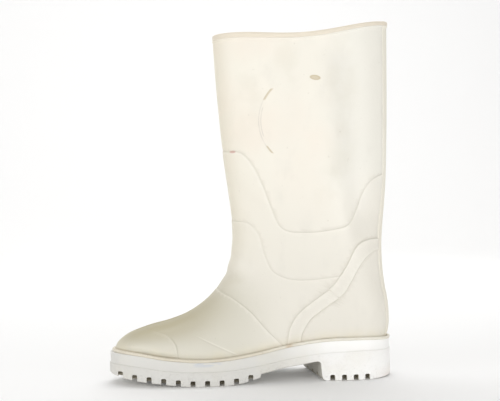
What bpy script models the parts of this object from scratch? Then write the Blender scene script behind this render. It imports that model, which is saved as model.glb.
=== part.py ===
"""White PVC work boot for the right foot, standing empty on its sole.

Built as it is moulded: a hollow upper of foot and shaft in one shot, a second shot for the
sole with its heel and lugs, a welt bead over the joint, and a loose insole inside.

Lengths are in metres. A station is a distance back from the tip of the sole's toe. The toe
points to -X, the inner side of the foot is -Y, and the floor is Z = 0.
"""

import math

import bmesh
import bpy
import numpy as np

# Driving sizes of the boot, and the sizes that the tables below are written for
SOLE_LENGTH = 0.300
BALL_WIDTH = 0.107
BOOT_HEIGHT = 0.380
TABLE_LENGTH = 300.0
TABLE_WIDTH = 107.0
TABLE_HEIGHT = 380.0
STATION_UNIT = SOLE_LENGTH / TABLE_LENGTH
WIDTH_UNIT = BALL_WIDTH / TABLE_WIDTH
HEIGHT_UNIT = BOOT_HEIGHT / TABLE_HEIGHT

# Clearances and thicknesses
GAP = 0.0003
UPPER_LIFT = 0.0005
WALL = 0.0027
INSOLE_THICKNESS = 0.0040
INSOLE_ROUND = 0.0008
INSOLE_SIDE_ROOM = 0.0020
INSOLE_TOE_ROOM = 0.009
INSOLE_HEEL_ROOM = 0.003
INSOLE_END_RUN = 0.070
LEDGE_TOE = 0.0040
LEDGE_HEEL = 0.0030
HEEL_FADE = 0.090

# Welt bead: a strip that lies on the sole's edge, round the foot of the upper
WELT_HEIGHT = 0.0034
WELT_PROUD = 0.0009
WELT_LEAN = 0.0015
WELT_TOE_INSET = 0.0028
WELT_TOE_RUN = 0.045

# Sole sides: a lower band that stands proud of the upper band, with a small round at the floor
BAND_PROUD = 0.0009
BAND_BEVEL = 0.0009
TREAD_ROUND = 0.0012

# Lugs: notches that run in from the edge, a channel behind them, and bars in the middle
LUG_DEPTH = 0.0064
CHANNEL_DEPTH = 0.0058
MIDDLE_DEPTH = 0.0046
NOTCH_WIDTH = 0.0052
NOTCH_REACH = 0.012
CHANNEL_WIDTH = 0.0045
CHANNEL_INSET = 0.023
FIRST_NOTCH = 0.0113
NOTCH_PITCH = 0.0150
FOREFOOT_NOTCHES = 10
FIRST_HEEL_NOTCH = 0.2332
HEEL_NOTCH_PITCH = 0.0124
HEEL_NOTCHES = 4
HEEL_NOTCH_REACH = 0.011
CHANNEL_STATIONS = (0.034, 0.149)
CHANNEL_STEPS = 14
BREAST_NOTCHES = (-0.018, 0.002, 0.022)
BREAST_NOTCH_REACH = 0.013
NOTCH_ARC_STEPS = 4
BELOW_FLOOR = 0.006
PAST_EDGE = 0.020

# Breast of the heel: it runs at a slant, further forward on the outer side
BREAST_STATION = 0.2215
BREAST_SLANT = 0.011
BREAST_FADE = 0.065

# Raised panels of the upper: how far each one stands out, and the width of its edge
ANKLE_RAISE = 0.0006
QUARTER_RAISE = 0.0005
BAND_RAISE = 0.0009
VAMP_RAISE = 0.0005
TOE_CAP_RAISE = 0.0010
TOE_CAP_FADE = (0.044, 0.064)
BACK_STRIP_RAISE = 0.0009
BACK_STRIP_HEEL_RAISE = 0.0023
BACK_STRIP_RUN = (0.150, 0.230)
BACK_STRIP_HALF = 0.017
BACK_STRIP_REACH = 0.0225
LOWEST_PANEL = ANKLE_RAISE + QUARTER_RAISE
RIM_RAISE = 0.0010
RIM_HEIGHT = 0.0062
UPRIGHT_ABOVE = 0.330
EDGE_HALF = 0.0004
SNAP = 0.12
STEP_ANGLE = math.radians(8)
SHARP_ANGLE = math.radians(40)
RAISE_FADE = (0.0040, 0.0080)

# Mesh density, and how the upper's rows and columns are spread
SOLE_STEPS = 34
UPPER_ROWS = 41
UPPER_COLUMNS = 15
DENSE = 160
TOE_ROWS = (0.0, 1.0, 2.0)
HEEL_ROW_STEPS = (-1.5, -1.0, -0.5, 0.0, 0.6)
ROWS_APART = 0.4
TURNS_APART = 0.02
BEND_WEIGHT = 0.8
LEAST_BEND = 0.3
TINY = 1e-6

INNER = -1
OUTER = 1
SIDES = (INNER, OUTER)

# The sole, in table millimetres: its inner and outer edges across the foot, the height of
# the rim that the welt lies on, and of the step between the two bands of its side.
SOLE_COLUMNS = "station inner outer rim step"
SOLE_TABLE = (
    (0, -9, -9, 33.2, 21.4),
    (12, -33, 15, 33.2, 21.4),
    (30, -43, 28, 31.7, 20.0),
    (60, -51, 41.5, 27.4, 16.2),
    (95, -53.5, 50.5, 24.9, 14.6),
    (125, -51, 53.5, 26.2, 15.2),
    (155, -45.5, 51.5, 30.3, 18.6),
    (185, -39.5, 46.5, 36.0, 23.6),
    (220, -37, 41.5, 40.6, 28.2),
    (255, -38.5, 39.5, 42.2, 30.3),
    (285, -29.5, 30, 41.0, 30.0),
    (300, 0, 0, 39.6, 29.2),
)

# The bottom of the sole: toe spring, flat ball, end of the forefoot, arch, breast and heel.
TREAD_COLUMNS = "station height"
TREAD_TABLE = (
    (0, 11.2),
    (12, 8.4),
    (30, 5.4),
    (60, 2.3),
    (85, 0.0),
    (122, 0.0),
    (138, 1.8),
    (156, 6.4),
    (157.5, 10.2),
    (178, 14.6),
    (200, 17.9),
    (217.6, 20.5),
    (219.3, 20.0),
    (220.6, 18.8),
    (221.1, 17.0),
    (222.2, 5.0),
    (222.9, 2.5),
    (224.7, 0.7),
    (227.2, 0.0),
    (276, 0.0),
    (300, 1.6),
)

# The last, a row for each section from the toe to the collar. A section is a slice from its
# foot (on the sole's rim, or up the back of the heel and shaft) to its front (along the
# ridge of the vamp and up the front of the shaft). Half is its greatest half width, widest
# is the share of the way to the front where that lies, rise and full are the powers of the
# round from there to the front, ridge is the front's place across the foot, and dip is how
# far the middle of the section hangs below its ends.
LAST_COLUMNS = "foot foot_z front front_z half widest rise full ridge dip"
ON_RIM = None
LAST_TABLE = (
    (4.0, ON_RIM, 4.0, 33.7, 0, 0.00, 1.00, 2.00, -9.0, 0),
    (6.5, ON_RIM, 4.4, 35.6, 9.5, 0.00, 1.05, 2.00, -9.0, 0),
    (11, ON_RIM, 5.8, 37.8, 16, 0.00, 1.15, 2.05, -9.0, 0),
    (17, ON_RIM, 8.8, 41.1, 22.5, 0.00, 1.35, 2.10, -8.9, 0),
    (25, ON_RIM, 13.3, 45.2, 28, 0.00, 1.65, 2.20, -8.7, 0),
    (34, ON_RIM, 20.4, 49.8, 33, 0.00, 1.95, 2.30, -8.3, 0),
    (45, ON_RIM, 31.2, 54.0, 37.5, 0.00, 2.20, 2.35, -7.8, 0),
    (58, ON_RIM, 46.2, 58.8, 41.5, 0.00, 2.30, 2.30, -7.0, 0),
    (73, ON_RIM, 62.2, 63.5, 45, 0.00, 2.25, 2.20, -6.0, 0),
    (90, ON_RIM, 80.2, 70.0, 47.5, 0.00, 2.10, 2.10, -5.0, 0),
    (108, ON_RIM, 96.3, 79.5, 48.8, 0.00, 1.98, 2.00, -4.0, 0),
    (128, ON_RIM, 109.8, 91.2, 48.5, 0.01, 1.92, 1.95, -3.0, 0),
    (150, ON_RIM, 119.5, 104.5, 46.0, 0.04, 1.92, 1.92, -2.0, 0),
    (176, ON_RIM, 126.4, 118.5, 42.5, 0.10, 1.96, 1.96, -1.4, 0),
    (204, ON_RIM, 129.8, 132.5, 39.6, 0.19, 2.04, 2.04, -1.0, 0),
    (234, ON_RIM, 131.7, 145.5, 38.6, 0.28, 2.12, 2.12, -0.6, 0),
    (262, ON_RIM, 132.3, 156.5, 38.2, 0.35, 2.25, 2.30, -0.3, 0),
    (284, ON_RIM, 131.7, 166.5, 38.0, 0.39, 2.30, 2.45, 0, 0),
    (294, ON_RIM, 130.7, 175, 38.0, 0.42, 2.30, 2.50, 0, 0),
    (297.0, ON_RIM, 129.7, 183.5, 38.0, 0.43, 2.30, 2.50, 0, 0),
    (297.7, 46.5, 128.7, 191, 38.1, 0.44, 2.30, 2.50, 0, 0),
    (299.2, 60, 127.6, 199.5, 38.3, 0.44, 2.30, 2.45, 0, 0),
    (298.0, 80, 126.4, 208.5, 38.7, 0.44, 2.30, 2.40, 0, 0),
    (294.8, 98, 125.0, 218.5, 39.3, 0.45, 2.30, 2.30, 0, 0),
    (292.5, 118, 123.5, 230, 40.0, 0.45, 2.30, 2.25, 0, 0),
    (291.8, 141, 121.8, 243.5, 40.8, 0.45, 2.30, 2.22, 0, 0),
    (293.5, 164, 119.9, 260, 41.4, 0.46, 2.25, 2.20, 0, 0),
    (296.6, 192, 118.1, 280, 42.0, 0.47, 2.20, 2.20, 0, 0),
    (298.9, 222, 116.4, 300, 42.4, 0.48, 2.20, 2.18, 0, 0),
    (300.0, 256, 115.0, 319, 42.6, 0.49, 2.15, 2.15, 0, 0),
    (300.7, 294, 114.0, 335, 42.8, 0.50, 2.15, 2.12, 0, 0.5),
    (301.0, 333, 113.4, 346, 43.0, 0.50, 2.10, 2.10, 0, 4),
    (301.2, 367, 113.0, 353.5, 43.0, 0.50, 2.10, 2.10, 0, 8),
    (301.3, 380, 112.8, 366.5, 43.0, 0.50, 2.10, 2.10, 0, 8),
)

# Edges of the raised panels as they run over the side of the boot: station and height, from
# the front or the top to the back or the sole. Their ends lie past the surface.
ANKLE_LINE = (
    (100, 242), (126, 242), (140, 240.5), (151, 228.5), (161, 209), (170, 185), (178.5, 165),
    (188, 158), (202, 156.5), (220, 157), (238, 159.5), (249, 162), (256, 167), (262.5, 179),
    (268.5, 195), (277.5, 208.5), (291, 216), (310, 218),
)
QUARTER_LINE = (
    (105, 169), (133, 168.5), (148, 166), (158, 154), (162.5, 137), (170, 118.5), (180, 111),
    (193, 107.2), (212, 106.8), (240, 109.5), (262, 111),
)
BAND_TOP_LINE = {
    INNER: (
        (310, 149), (291, 148.3), (273, 147), (260.5, 140), (250.5, 122.5), (241, 108),
        (230.5, 96.5), (214, 84.5), (198.5, 72), (189, 57), (186, 41), (185.5, 20),
    ),
    OUTER: (
        (310, 149), (291, 148.3), (276, 146), (265, 138), (256, 121), (246.5, 104),
        (234, 91), (217, 79.5), (201, 69), (190.5, 56), (186.5, 41), (186, 20),
    ),
}
BAND_FOOT_LINE = {
    INNER: (
        (310, 138), (289, 136.6), (276, 132.5), (264.5, 120.5), (254, 103.5), (244.5, 90),
        (224, 75.5), (211, 65.5), (203, 53), (200.5, 43), (200, 20),
    ),
    OUTER: (
        (310, 138), (289, 136.6), (278.5, 132), (268.5, 118), (259.5, 99), (248, 84.5),
        (230, 72.5), (214, 63.5), (204.5, 52.5), (201, 43), (200.5, 20),
    ),
}
VAMP_LINE = ((92, 118), (115.5, 96), (130, 88), (148, 74), (163, 56.5), (180, 39), (190, 25))
TOE_CAP_LINE = ((20, 64), (36, 57), (52, 53.5), (63, 50), (69.5, 42), (71.3, 32), (71.8, 15))

UPPER_CREAM = (0.86, 0.81, 0.70, 1.0)
WELT_CREAM = (0.80, 0.73, 0.58, 1.0)
SOLE_WHITE = (0.84, 0.84, 0.80, 1.0)
INSOLE_FELT = (0.62, 0.58, 0.50, 1.0)


def column(names, table, name):
    """One column of a table, as an array."""
    return np.array([row[names.split().index(name)] for row in table], float)


def smooth(xs, ys, at):
    """A smooth curve through the points (xs, ys), read at the places at."""
    xs, ys, at = np.asarray(xs, float), np.asarray(ys, float), np.asarray(at, float)
    slopes = np.gradient(ys, xs)
    i = np.clip(np.searchsorted(xs, at, side="right") - 1, 0, len(xs) - 2)
    run = xs[i + 1] - xs[i]
    t = np.clip((at - xs[i]) / run, 0, 1)
    rise = t * t * (3 - 2 * t)
    lead = t * (1 - t) * (1 - t) * slopes[i] - t * t * (1 - t) * slopes[i + 1]
    return ys[i] * (1 - rise) + ys[i + 1] * rise + run * lead


def turn_of(station):
    """The angle that stands for a station, so that the sole's ends come out round."""
    share = np.clip(np.asarray(station, float) / SOLE_LENGTH, 0, 1)
    return np.arccos(1 - 2 * share)


def station_of(turn):
    """The station that an angle stands for."""
    return SOLE_LENGTH * (1 - np.cos(turn)) / 2


SOLE_STATIONS = column(SOLE_COLUMNS, SOLE_TABLE, "station") * STATION_UNIT


def sole_height(name, station):
    """Height of the sole's rim or of its step at a station."""
    return smooth(SOLE_STATIONS, column(SOLE_COLUMNS, SOLE_TABLE, name), station) * HEIGHT_UNIT


TREAD_STATIONS = column(TREAD_COLUMNS, TREAD_TABLE, "station") * STATION_UNIT


def tread_height(station):
    """Height of the sole's bottom at a station on its inner edge."""
    heights = column(TREAD_COLUMNS, TREAD_TABLE, "height") * HEIGHT_UNIT
    return np.interp(station, TREAD_STATIONS, heights)


def slanted(station, side):
    """The station on one edge across from one on the inner edge, along lines like the breast's."""
    share = np.clip(1 - np.abs(station - BREAST_STATION) / BREAST_FADE, 0, 1)
    return station - (BREAST_SLANT * share if side == OUTER else 0)


def outline(turn, side, offset=0.0):
    """Stations and places across of one edge of the sole, moved outwards by offset."""
    name = "inner" if side == INNER else "outer"
    edge = column(SOLE_COLUMNS, SOLE_TABLE, name) * WIDTH_UNIT

    def place(at):
        return np.stack([station_of(at), smooth(turn_of(SOLE_STATIONS), edge, at)])

    run = place(np.clip(turn + TINY, 0, math.pi)) - place(np.clip(turn - TINY, 0, math.pi))
    run = run / np.linalg.norm(run, axis=0)
    out = side * np.stack([-run[1], run[0]])
    return place(turn) + offset * out


def ledge(station):
    """How far the upper stands in from the sole's edge."""
    return LEDGE_TOE + (LEDGE_HEEL - LEDGE_TOE) * station / SOLE_LENGTH


ALL_TURNS = np.linspace(0, math.pi, 400)


def upper_foot(station, side):
    """Where the foot of the upper's wall lies across the boot at a station."""
    edge = outline(ALL_TURNS, side, -ledge(station_of(ALL_TURNS)))
    return np.interp(station, edge[0], edge[1])


LAST_ROWS = np.arange(len(LAST_TABLE))
HEEL_ROW = max(i for i, row in enumerate(LAST_TABLE) if row[1] is ON_RIM)
UNITS = dict(
    foot=STATION_UNIT, front=STATION_UNIT, front_z=HEIGHT_UNIT, half=WIDTH_UNIT,
    widest=1, rise=1, full=1, ridge=WIDTH_UNIT, dip=HEIGHT_UNIT,
)
LAST = {n: column(LAST_COLUMNS, LAST_TABLE, n) * unit for n, unit in UNITS.items()}
LAST["foot_z"] = np.array(
    [
        sole_height("rim", station) + UPPER_LIFT if row[1] is ON_RIM else row[1] * HEIGHT_UNIT
        for row, station in zip(LAST_TABLE, LAST["foot"])
    ]
)


def back_at(height):
    """Station of the back of the heel and shaft at a height."""
    return smooth(LAST["foot_z"][HEEL_ROW:], LAST["foot"][HEEL_ROW:], height)


def heel_round(from_back, height, half, full, end):
    """Half widths of the round at the back, which is the sole's own outline near the sole."""
    share = np.clip(from_back / end, 0, 1)
    oval = half * (1 - (1 - share) ** full) ** (1 / full)
    station = LAST["foot"][HEEL_ROW] - np.maximum(from_back, 0)
    on_sole = (upper_foot(station, OUTER) - upper_foot(station, INNER)) / 2
    near_sole = np.clip(1 - (height - LAST["foot_z"][HEEL_ROW]) / HEEL_FADE, 0, 1)
    return oval + (on_sole - oval) * (1 - share**2) * near_sole**2 * (3 - 2 * near_sole)


def half_section(at, side):
    """One side of the section at a place along the last, from its foot to its front."""
    row = {name: float(smooth(LAST_ROWS, values, at)) for name, values in LAST.items()}
    on_rim = at <= HEEL_ROW
    foot_z = float(sole_height("rim", row["foot"]) + UPPER_LIFT) if on_rim else row["foot_z"]
    feet = [float(upper_foot(row["foot"], s)) if at < HEEL_ROW else 0.0 for s in SIDES]
    middle, foot_half = sum(feet) / 2, (feet[1] - feet[0]) / 2
    half = max(row["half"], foot_half, TINY)
    widest, full = max(row["widest"], TINY), max(row["full"], 1.0)
    way = (1 - np.cos(np.linspace(0, math.pi, DENSE))) / 2
    length = row["foot"] - row["front"]
    station = row["foot"] - length * way
    height = foot_z + (row["front_z"] - foot_z) * way - row["dip"] * np.sin(math.pi * way) ** 2
    past_foot = max(LAST["foot"][HEEL_ROW] - row["foot"], 0) if on_rim else 0.0
    from_back = past_foot + length * way + back_at(height) - back_at(foot_z)
    ahead = np.clip((way - widest) / (1 - widest), 0, 1) ** row["rise"]
    spread = heel_round(from_back, height, half, full, past_foot + length * widest)
    spread = spread * (1 - ahead) ** (1 / full)
    to_foot = (foot_half - spread[0]) * np.clip(1 - way / widest, 0, 1) ** full
    across = middle + (row["ridge"] - middle) * way + side * (spread + to_foot)
    return np.stack([station, across, height], axis=1)


def spaced(points, count):
    """Points along a line, spread by its length and by how much it turns."""
    steps = np.diff(points, axis=0)
    length = np.linalg.norm(steps, axis=1)
    if length.sum() < TINY:
        return np.repeat(points[:1], count, axis=0)
    heading = steps / np.maximum(length, TINY * TINY)[:, None]
    bend = np.arccos(np.clip((heading[1:] * heading[:-1]).sum(1), -1, 1))
    bend = np.concatenate([[0], bend])
    share = length / length.sum() + BEND_WEIGHT * bend / max(bend.sum(), LEAST_BEND)
    travel = np.concatenate([[0], np.cumsum(share)])
    wanted = np.linspace(0, travel[-1], count)
    return np.stack([np.interp(wanted, travel, points[:, k]) for k in range(3)], axis=1)


def section(at, columns):
    """A whole section, from the inner foot over the front to the outer foot."""
    inner, outer = (spaced(half_section(at, side), columns + 1) for side in SIDES)
    return np.concatenate([inner, outer[-2::-1]])


def row_places():
    """Places along the last for the upper's rows: even steps, the heel, and the collar rim."""
    dense = np.linspace(0, LAST_ROWS[-1], 6 * DENSE)
    lines = [
        np.stack([smooth(LAST_ROWS, LAST[n], dense), smooth(LAST_ROWS, LAST[n + "_z"], dense)], 1)
        for n in ("foot", "front")
    ]
    steps = sum(np.linalg.norm(np.diff(line, axis=0), axis=1) for line in lines)
    travel = np.concatenate([[0], np.cumsum(steps)])
    even = np.interp(np.linspace(0, travel[-1], UPPER_ROWS), travel, dense)
    rim = [
        float(np.interp(travel[-1] - 2 * drop, travel, dense))
        for drop in (RIM_HEIGHT + 2 * EDGE_HALF, RIM_HEIGHT, 0)
    ]
    fixed = [*TOE_ROWS, *(HEEL_ROW + step for step in HEEL_ROW_STEPS), *rim]
    apart = [float(at) for at in even if min(abs(at - f) for f in fixed) > ROWS_APART]
    return sorted(fixed + [at for at in apart if at < rim[0]]), rim[1]


def distance_to(line, points):
    """Signed distance in side view from points to a line: positive on its left."""
    knots = np.array(line, float) * (STATION_UNIT, HEIGHT_UNIT)
    places = np.arange(len(knots))
    fine = np.linspace(0, places[-1], 6 * len(knots))
    path = np.stack([smooth(places, knots[:, k], fine) for k in range(2)], axis=1)
    start, run = path[:-1], np.diff(path, axis=0)
    reach = points[:, None, :] - start[None]
    t = np.clip((reach * run).sum(2) / (run * run).sum(1), 0, 1)
    off = reach - t[..., None] * run
    nearest = (off * off).sum(2).argmin(1)
    pick = np.arange(len(points))
    off, run = off[pick, nearest], run[nearest]
    turned = run[:, 0] * off[:, 1] - run[:, 1] * off[:, 0]
    return np.hypot(off[:, 0], off[:, 1]) * np.where(turned < 0, -1, 1)


def side_of(points):
    """Which side of the boot each point is on, seen along the foot."""
    middle = np.interp(points[:, 0], LAST["front"][: HEEL_ROW + 1], LAST["ridge"][: HEEL_ROW + 1])
    return np.where(points[:, 1] < middle, INNER, OUTER)


def either_side(lines, points):
    """Distance to a line that runs differently on the two sides of the boot."""
    inner, outer = (distance_to(lines[s], points[:, [0, 2]]) for s in SIDES)
    return np.where(side_of(points) == INNER, inner, outer)


def below_ankle(points):
    """Below the edge of the ankle panel."""
    return -distance_to(ANKLE_LINE, points[:, [0, 2]])


def below_band_top(points):
    """Behind and below the upper edge of the heel band."""
    return either_side(BAND_TOP_LINE, points)


def on_quarter(points):
    """Below the quarter line, and behind the end of that line below the top of the band."""
    return np.maximum(-distance_to(QUARTER_LINE, points[:, [0, 2]]), below_band_top(points))


def above_band_foot(points):
    """Before and above the lower edge of the heel band."""
    return -either_side(BAND_FOOT_LINE, points)


def before_vamp(points):
    """On the toe's side of the vamp's edge."""
    return -distance_to(VAMP_LINE, points[:, [0, 2]])


def on_toe_cap(points):
    """On the toe's side of the cap's edge, and below it."""
    return -distance_to(TOE_CAP_LINE, points[:, [0, 2]])


def cap_share(points):
    """How much of the cap's edge shows at each point: none over the toe, where it fades."""
    start, end = TOE_CAP_FADE
    return np.clip((points[:, 0] - start) / (end - start), 0, 1)


def on_back_strip(points):
    """On the strip that runs up the middle of the back, over the ends of the other panels."""
    near = points[:, 0] > back_at(points[:, 2]) - BACK_STRIP_REACH
    return np.where(near, BACK_STRIP_HALF - np.abs(points[:, 1]), -BACK_STRIP_HALF)


PANEL_EDGES = (
    below_ankle,
    on_quarter,
    below_band_top,
    above_band_foot,
    before_vamp,
    on_toe_cap,
    on_back_strip,
)


def panel_raise(points):
    """How far each point of the upper's skin stands out from the last."""
    step = {}
    for edge in PANEL_EDGES:
        step[edge] = np.clip((edge(points) + EDGE_HALF) / (2 * EDGE_HALF), 0, 1)
    step[on_toe_cap] = np.maximum(step[on_toe_cap], 1 - cap_share(points))
    band = np.minimum(step[below_band_top], step[above_band_foot])
    panels = (
        ANKLE_RAISE * step[below_ankle]
        + QUARTER_RAISE * step[on_quarter]
        + BAND_RAISE * band
        + VAMP_RAISE * step[before_vamp]
        + TOE_CAP_RAISE * step[on_toe_cap]
    )
    strip = np.interp(points[:, 2], BACK_STRIP_RUN, (BACK_STRIP_HEEL_RAISE, BACK_STRIP_RAISE))
    total = panels + (strip - panels) * step[on_back_strip] - LOWEST_PANEL
    above = points[:, 2] - sole_height("rim", points[:, 0])
    return total * np.clip((above - RAISE_FADE[0]) / (RAISE_FADE[1] - RAISE_FADE[0]), 0, 1)


def place_of(vertices):
    """Places of the vertices, as an array."""
    return np.array([v.co for v in vertices], float)


def free_to_move(vertex, outer_mark, scored_mark):
    """A vertex may slide to a line if it is inside the skin and off every line so far."""
    around = [vertex] + [e.other_vert(vertex) for e in vertex.link_edges]
    return all(f[outer_mark] for f in vertex.link_faces) and not any(v[scored_mark] for v in around)


def score(bm, outer_mark, scored_mark, field, level):
    """Cuts the outer skin along field = level, so that edges of the mesh follow it."""
    bmesh.ops.triangulate(bm, faces=[f for f in bm.faces if f[outer_mark]])
    outer = [f for f in bm.faces if f[outer_mark]]
    vertices = list(dict.fromkeys(v for f in outer for v in f.verts))
    values = dict(zip(vertices, field(place_of(vertices)) - level))
    for vertex in vertices:
        if vertex[scored_mark] and abs(values[vertex]) < EDGE_HALF / 2:
            values[vertex] = 0.0
    edges = list(dict.fromkeys(e for f in outer for e in f.edges))
    for edge in edges:
        a, b = edge.verts
        if values[a] * values[b] < 0:
            share = values[a] / (values[a] - values[b])
            near = a if share < SNAP else b if share > 1 - SNAP else None
            if near is not None and free_to_move(near, outer_mark, scored_mark):
                near.co = a.co.lerp(b.co, share)
                near[scored_mark] = 1
                values[near] = 0.0
    for edge in edges:
        a, b = edge.verts
        if values[a] * values[b] < 0:
            share = values[a] / (values[a] - values[b])
            new = bmesh.utils.edge_split(edge, a, share)[1]
            new[scored_mark] = 1
            values[new] = 0.0
    for face in [f for f in bm.faces if f[outer_mark]]:
        ends = [v for v in face.verts if values[v] == 0.0]
        if len(ends) == 2 and not any(ends[1] in e.verts for e in ends[0].link_edges):
            bmesh.utils.face_split(face, *ends)


def grid_faces(bm, rows, flip):
    """Quads between rows of vertices, leaving out corners that coincide."""
    made = []
    for low, high in zip(rows, rows[1:]):
        for j in range(len(low) - 1):
            ring = [low[j], low[j + 1], high[j + 1], high[j]]
            corners = [v for i, v in enumerate(ring) if v not in ring[:i]]
            if len(corners) > 2:
                made.append(bm.faces.new(corners[::-1] if flip else corners))
    return made


def row_vertices(bm, points, closed, pole):
    """Vertices of one row: a pole is one vertex, and a closed row ends where it began."""
    if pole:
        return [bm.verts.new(points[0])] * len(points)
    made = [bm.verts.new(p) for p in points[:-1]]
    return made + [made[0] if closed else bm.verts.new(points[-1])]


def upper_mesh():
    """The hollow upper: outer skin with its raised panels, inner skin, collar and foot edges."""
    places, rim_foot = row_places()
    bm = bmesh.new()
    outer_mark = bm.faces.layers.int.new("outer")
    scored_mark = bm.verts.layers.int.new("scored")
    outer = []
    for at in places:
        points = section(at, UPPER_COLUMNS)
        outer.append(row_vertices(bm, points, closed=at >= HEEL_ROW, pole=at == 0))
    for face in grid_faces(bm, outer, flip=True):
        face[outer_mark] = 1
        face.smooth = True
    bm.normal_update()
    twin = {}
    for vertex in [v for row in outer for v in row]:
        if vertex not in twin:
            inward = -vertex.normal
            above_foot = vertex.co.z - float(sole_height("rim", vertex.co.x)) - UPPER_LIFT
            inward.z *= 0 if vertex in outer[-1] else min(above_foot / (2 * WALL), 1)
            twin[vertex] = bm.verts.new(vertex.co + WALL * inward.normalized())
    standing = [row for at, row in zip(places, outer) if at <= HEEL_ROW]
    edges = [outer[-1], [row[0] for row in standing], [row[-1] for row in standing]]
    grid_faces(bm, [[twin[v] for v in row] for row in outer], flip=False)
    for edge in edges:
        grid_faces(bm, [edge, [twin[v] for v in edge]], flip=False)
    bmesh.ops.recalc_face_normals(bm, faces=bm.faces[:])
    raise_rim(bm, places, outer, rim_foot)
    for edge in PANEL_EDGES:
        for level in (-EDGE_HALF, EDGE_HALF):
            score(bm, outer_mark, scored_mark, edge, level)
    lift_panels(bm, outer_mark)
    bm.normal_update()
    for edge in bm.edges:
        on_step = all(v[scored_mark] for v in edge.verts)
        edge.smooth = edge.calc_face_angle() < (STEP_ANGLE if on_step else SHARP_ANGLE)
    return bm


def raise_rim(bm, places, outer, rim_foot):
    """Thickens the top of the shaft into the collar's rim."""
    bm.normal_update()
    for at, row in zip(places, outer):
        if at >= rim_foot:
            for vertex in set(row):
                out = vertex.normal.copy()
                out.z = 0
                vertex.co += RIM_RAISE * out.normalized()


def lift_panels(bm, outer_mark):
    """Moves the outer skin out where a raised panel covers it, level at the top of the shaft."""
    bm.normal_update()
    vertices = [v for v in bm.verts if any(f[outer_mark] for f in v.link_faces)]
    outward = []
    for vertex in vertices:
        faces = [f for f in vertex.link_faces if f[outer_mark]]
        outward.append(sum((f.normal * f.calc_area() for f in faces), vertex.normal * 0).normalized())
    for vertex, out, height in zip(vertices, outward, panel_raise(place_of(vertices))):
        out.z *= vertex.co.z < UPRIGHT_ABOVE
        vertex.co += float(height) * out.normalized()


def sole_turns():
    """Angles round the sole: even steps, with the corners of its bottom among them."""
    even = np.linspace(0, math.pi, SOLE_STEPS + 1)
    corners = turn_of(TREAD_STATIONS[4:-1])
    apart = [t for t in even if np.abs(corners - t).min() > TURNS_APART]
    return np.sort(np.concatenate([apart, corners]))


def loop_of(turns, offset, height):
    """A closed loop round the boot at an offset from the sole's edge: its inner and outer halves."""
    halves = []
    for side in SIDES:
        side_turns = turn_of(slanted(station_of(turns), side))
        station, across = outline(side_turns, side, offset(station_of(side_turns)))
        on_boot = np.clip(station, 0, SOLE_LENGTH)
        halves.append(np.stack([station, across, height(on_boot, station_of(turns))], axis=1))
    return halves


def stacked_loops(bm, loops):
    """Vertices for loops whose two halves share their toe and heel ends."""
    made = []
    for inner, outer in loops:
        first = [bm.verts.new(p) for p in inner]
        second = [first[0]] + [bm.verts.new(p) for p in outer[1:-1]] + [first[-1]]
        made.append((first, second))
    return made


def plate_mesh(turns, loops):
    """A closed plate: sides through the loops, and flat strips across its bottom and top."""
    bm = bmesh.new()
    made = stacked_loops(bm, [loop_of(turns, *loop) for loop in loops])
    for half in range(2):
        grid_faces(bm, [pair[half] for pair in made], flip=bool(half))
    for pair in (made[0], made[-1]):
        grid_faces(bm, pair, flip=False)
    bmesh.ops.recalc_face_normals(bm, faces=bm.faces[:])
    return bm


def ring_mesh(turns, loops):
    """A closed ring round the boot, through loops that come back to the first."""
    bm = bmesh.new()
    made = stacked_loops(bm, [loop_of(turns, *loop) for loop in loops])
    for half in range(2):
        grid_faces(bm, [pair[half] for pair in made + made[:1]], flip=bool(half))
    bmesh.ops.recalc_face_normals(bm, faces=bm.faces[:])
    return bm


def level(value):
    """The same offset all round the boot."""
    return lambda station: np.full_like(station, value)


def rim_plus(rise):
    """Heights above the sole's rim."""
    return lambda station, inner_station: sole_height("rim", station) + rise


def step_plus(rise):
    """Heights above the step in the sole's side."""
    return lambda station, inner_station: sole_height("step", station) + rise


def tread_plus(rise):
    """Heights above the sole's bottom."""
    return lambda station, inner_station: tread_height(inner_station) + rise


def outsole_mesh():
    """The sole before its lugs are cut, from the rounded edge of its bottom up to its rim."""
    return plate_mesh(
        sole_turns(),
        [
            (level(BAND_PROUD - TREAD_ROUND), tread_plus(0)),
            (level(BAND_PROUD), tread_plus(TREAD_ROUND)),
            (level(BAND_PROUD), step_plus(0)),
            (level(0), step_plus(BAND_BEVEL)),
            (level(0), rim_plus(0)),
        ],
    )


def welt_mesh():
    """The bead on the sole's rim, proud of the sole's side but drawn in round the toe."""

    def near_toe(station):
        return np.clip(1 - station / WELT_TOE_RUN, 0, 1) ** 2

    def against_upper(lean):
        return lambda station: GAP + lean * (1 - near_toe(station)) - ledge(station)

    def face(inset):
        return lambda station: WELT_PROUD - inset - WELT_TOE_INSET * near_toe(station)

    low, high = GAP, GAP + WELT_HEIGHT
    shoulder = WELT_HEIGHT / 4
    return ring_mesh(
        np.linspace(0, math.pi, SOLE_STEPS + 1),
        [
            (against_upper(0), rim_plus(low)),
            (face(2 * WELT_PROUD / 3), rim_plus(low)),
            (face(0), rim_plus(low + shoulder)),
            (face(0), rim_plus(high - shoulder)),
            (face(WELT_PROUD), rim_plus(high)),
            (against_upper(WELT_LEAN), rim_plus(high)),
        ],
    )


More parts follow.
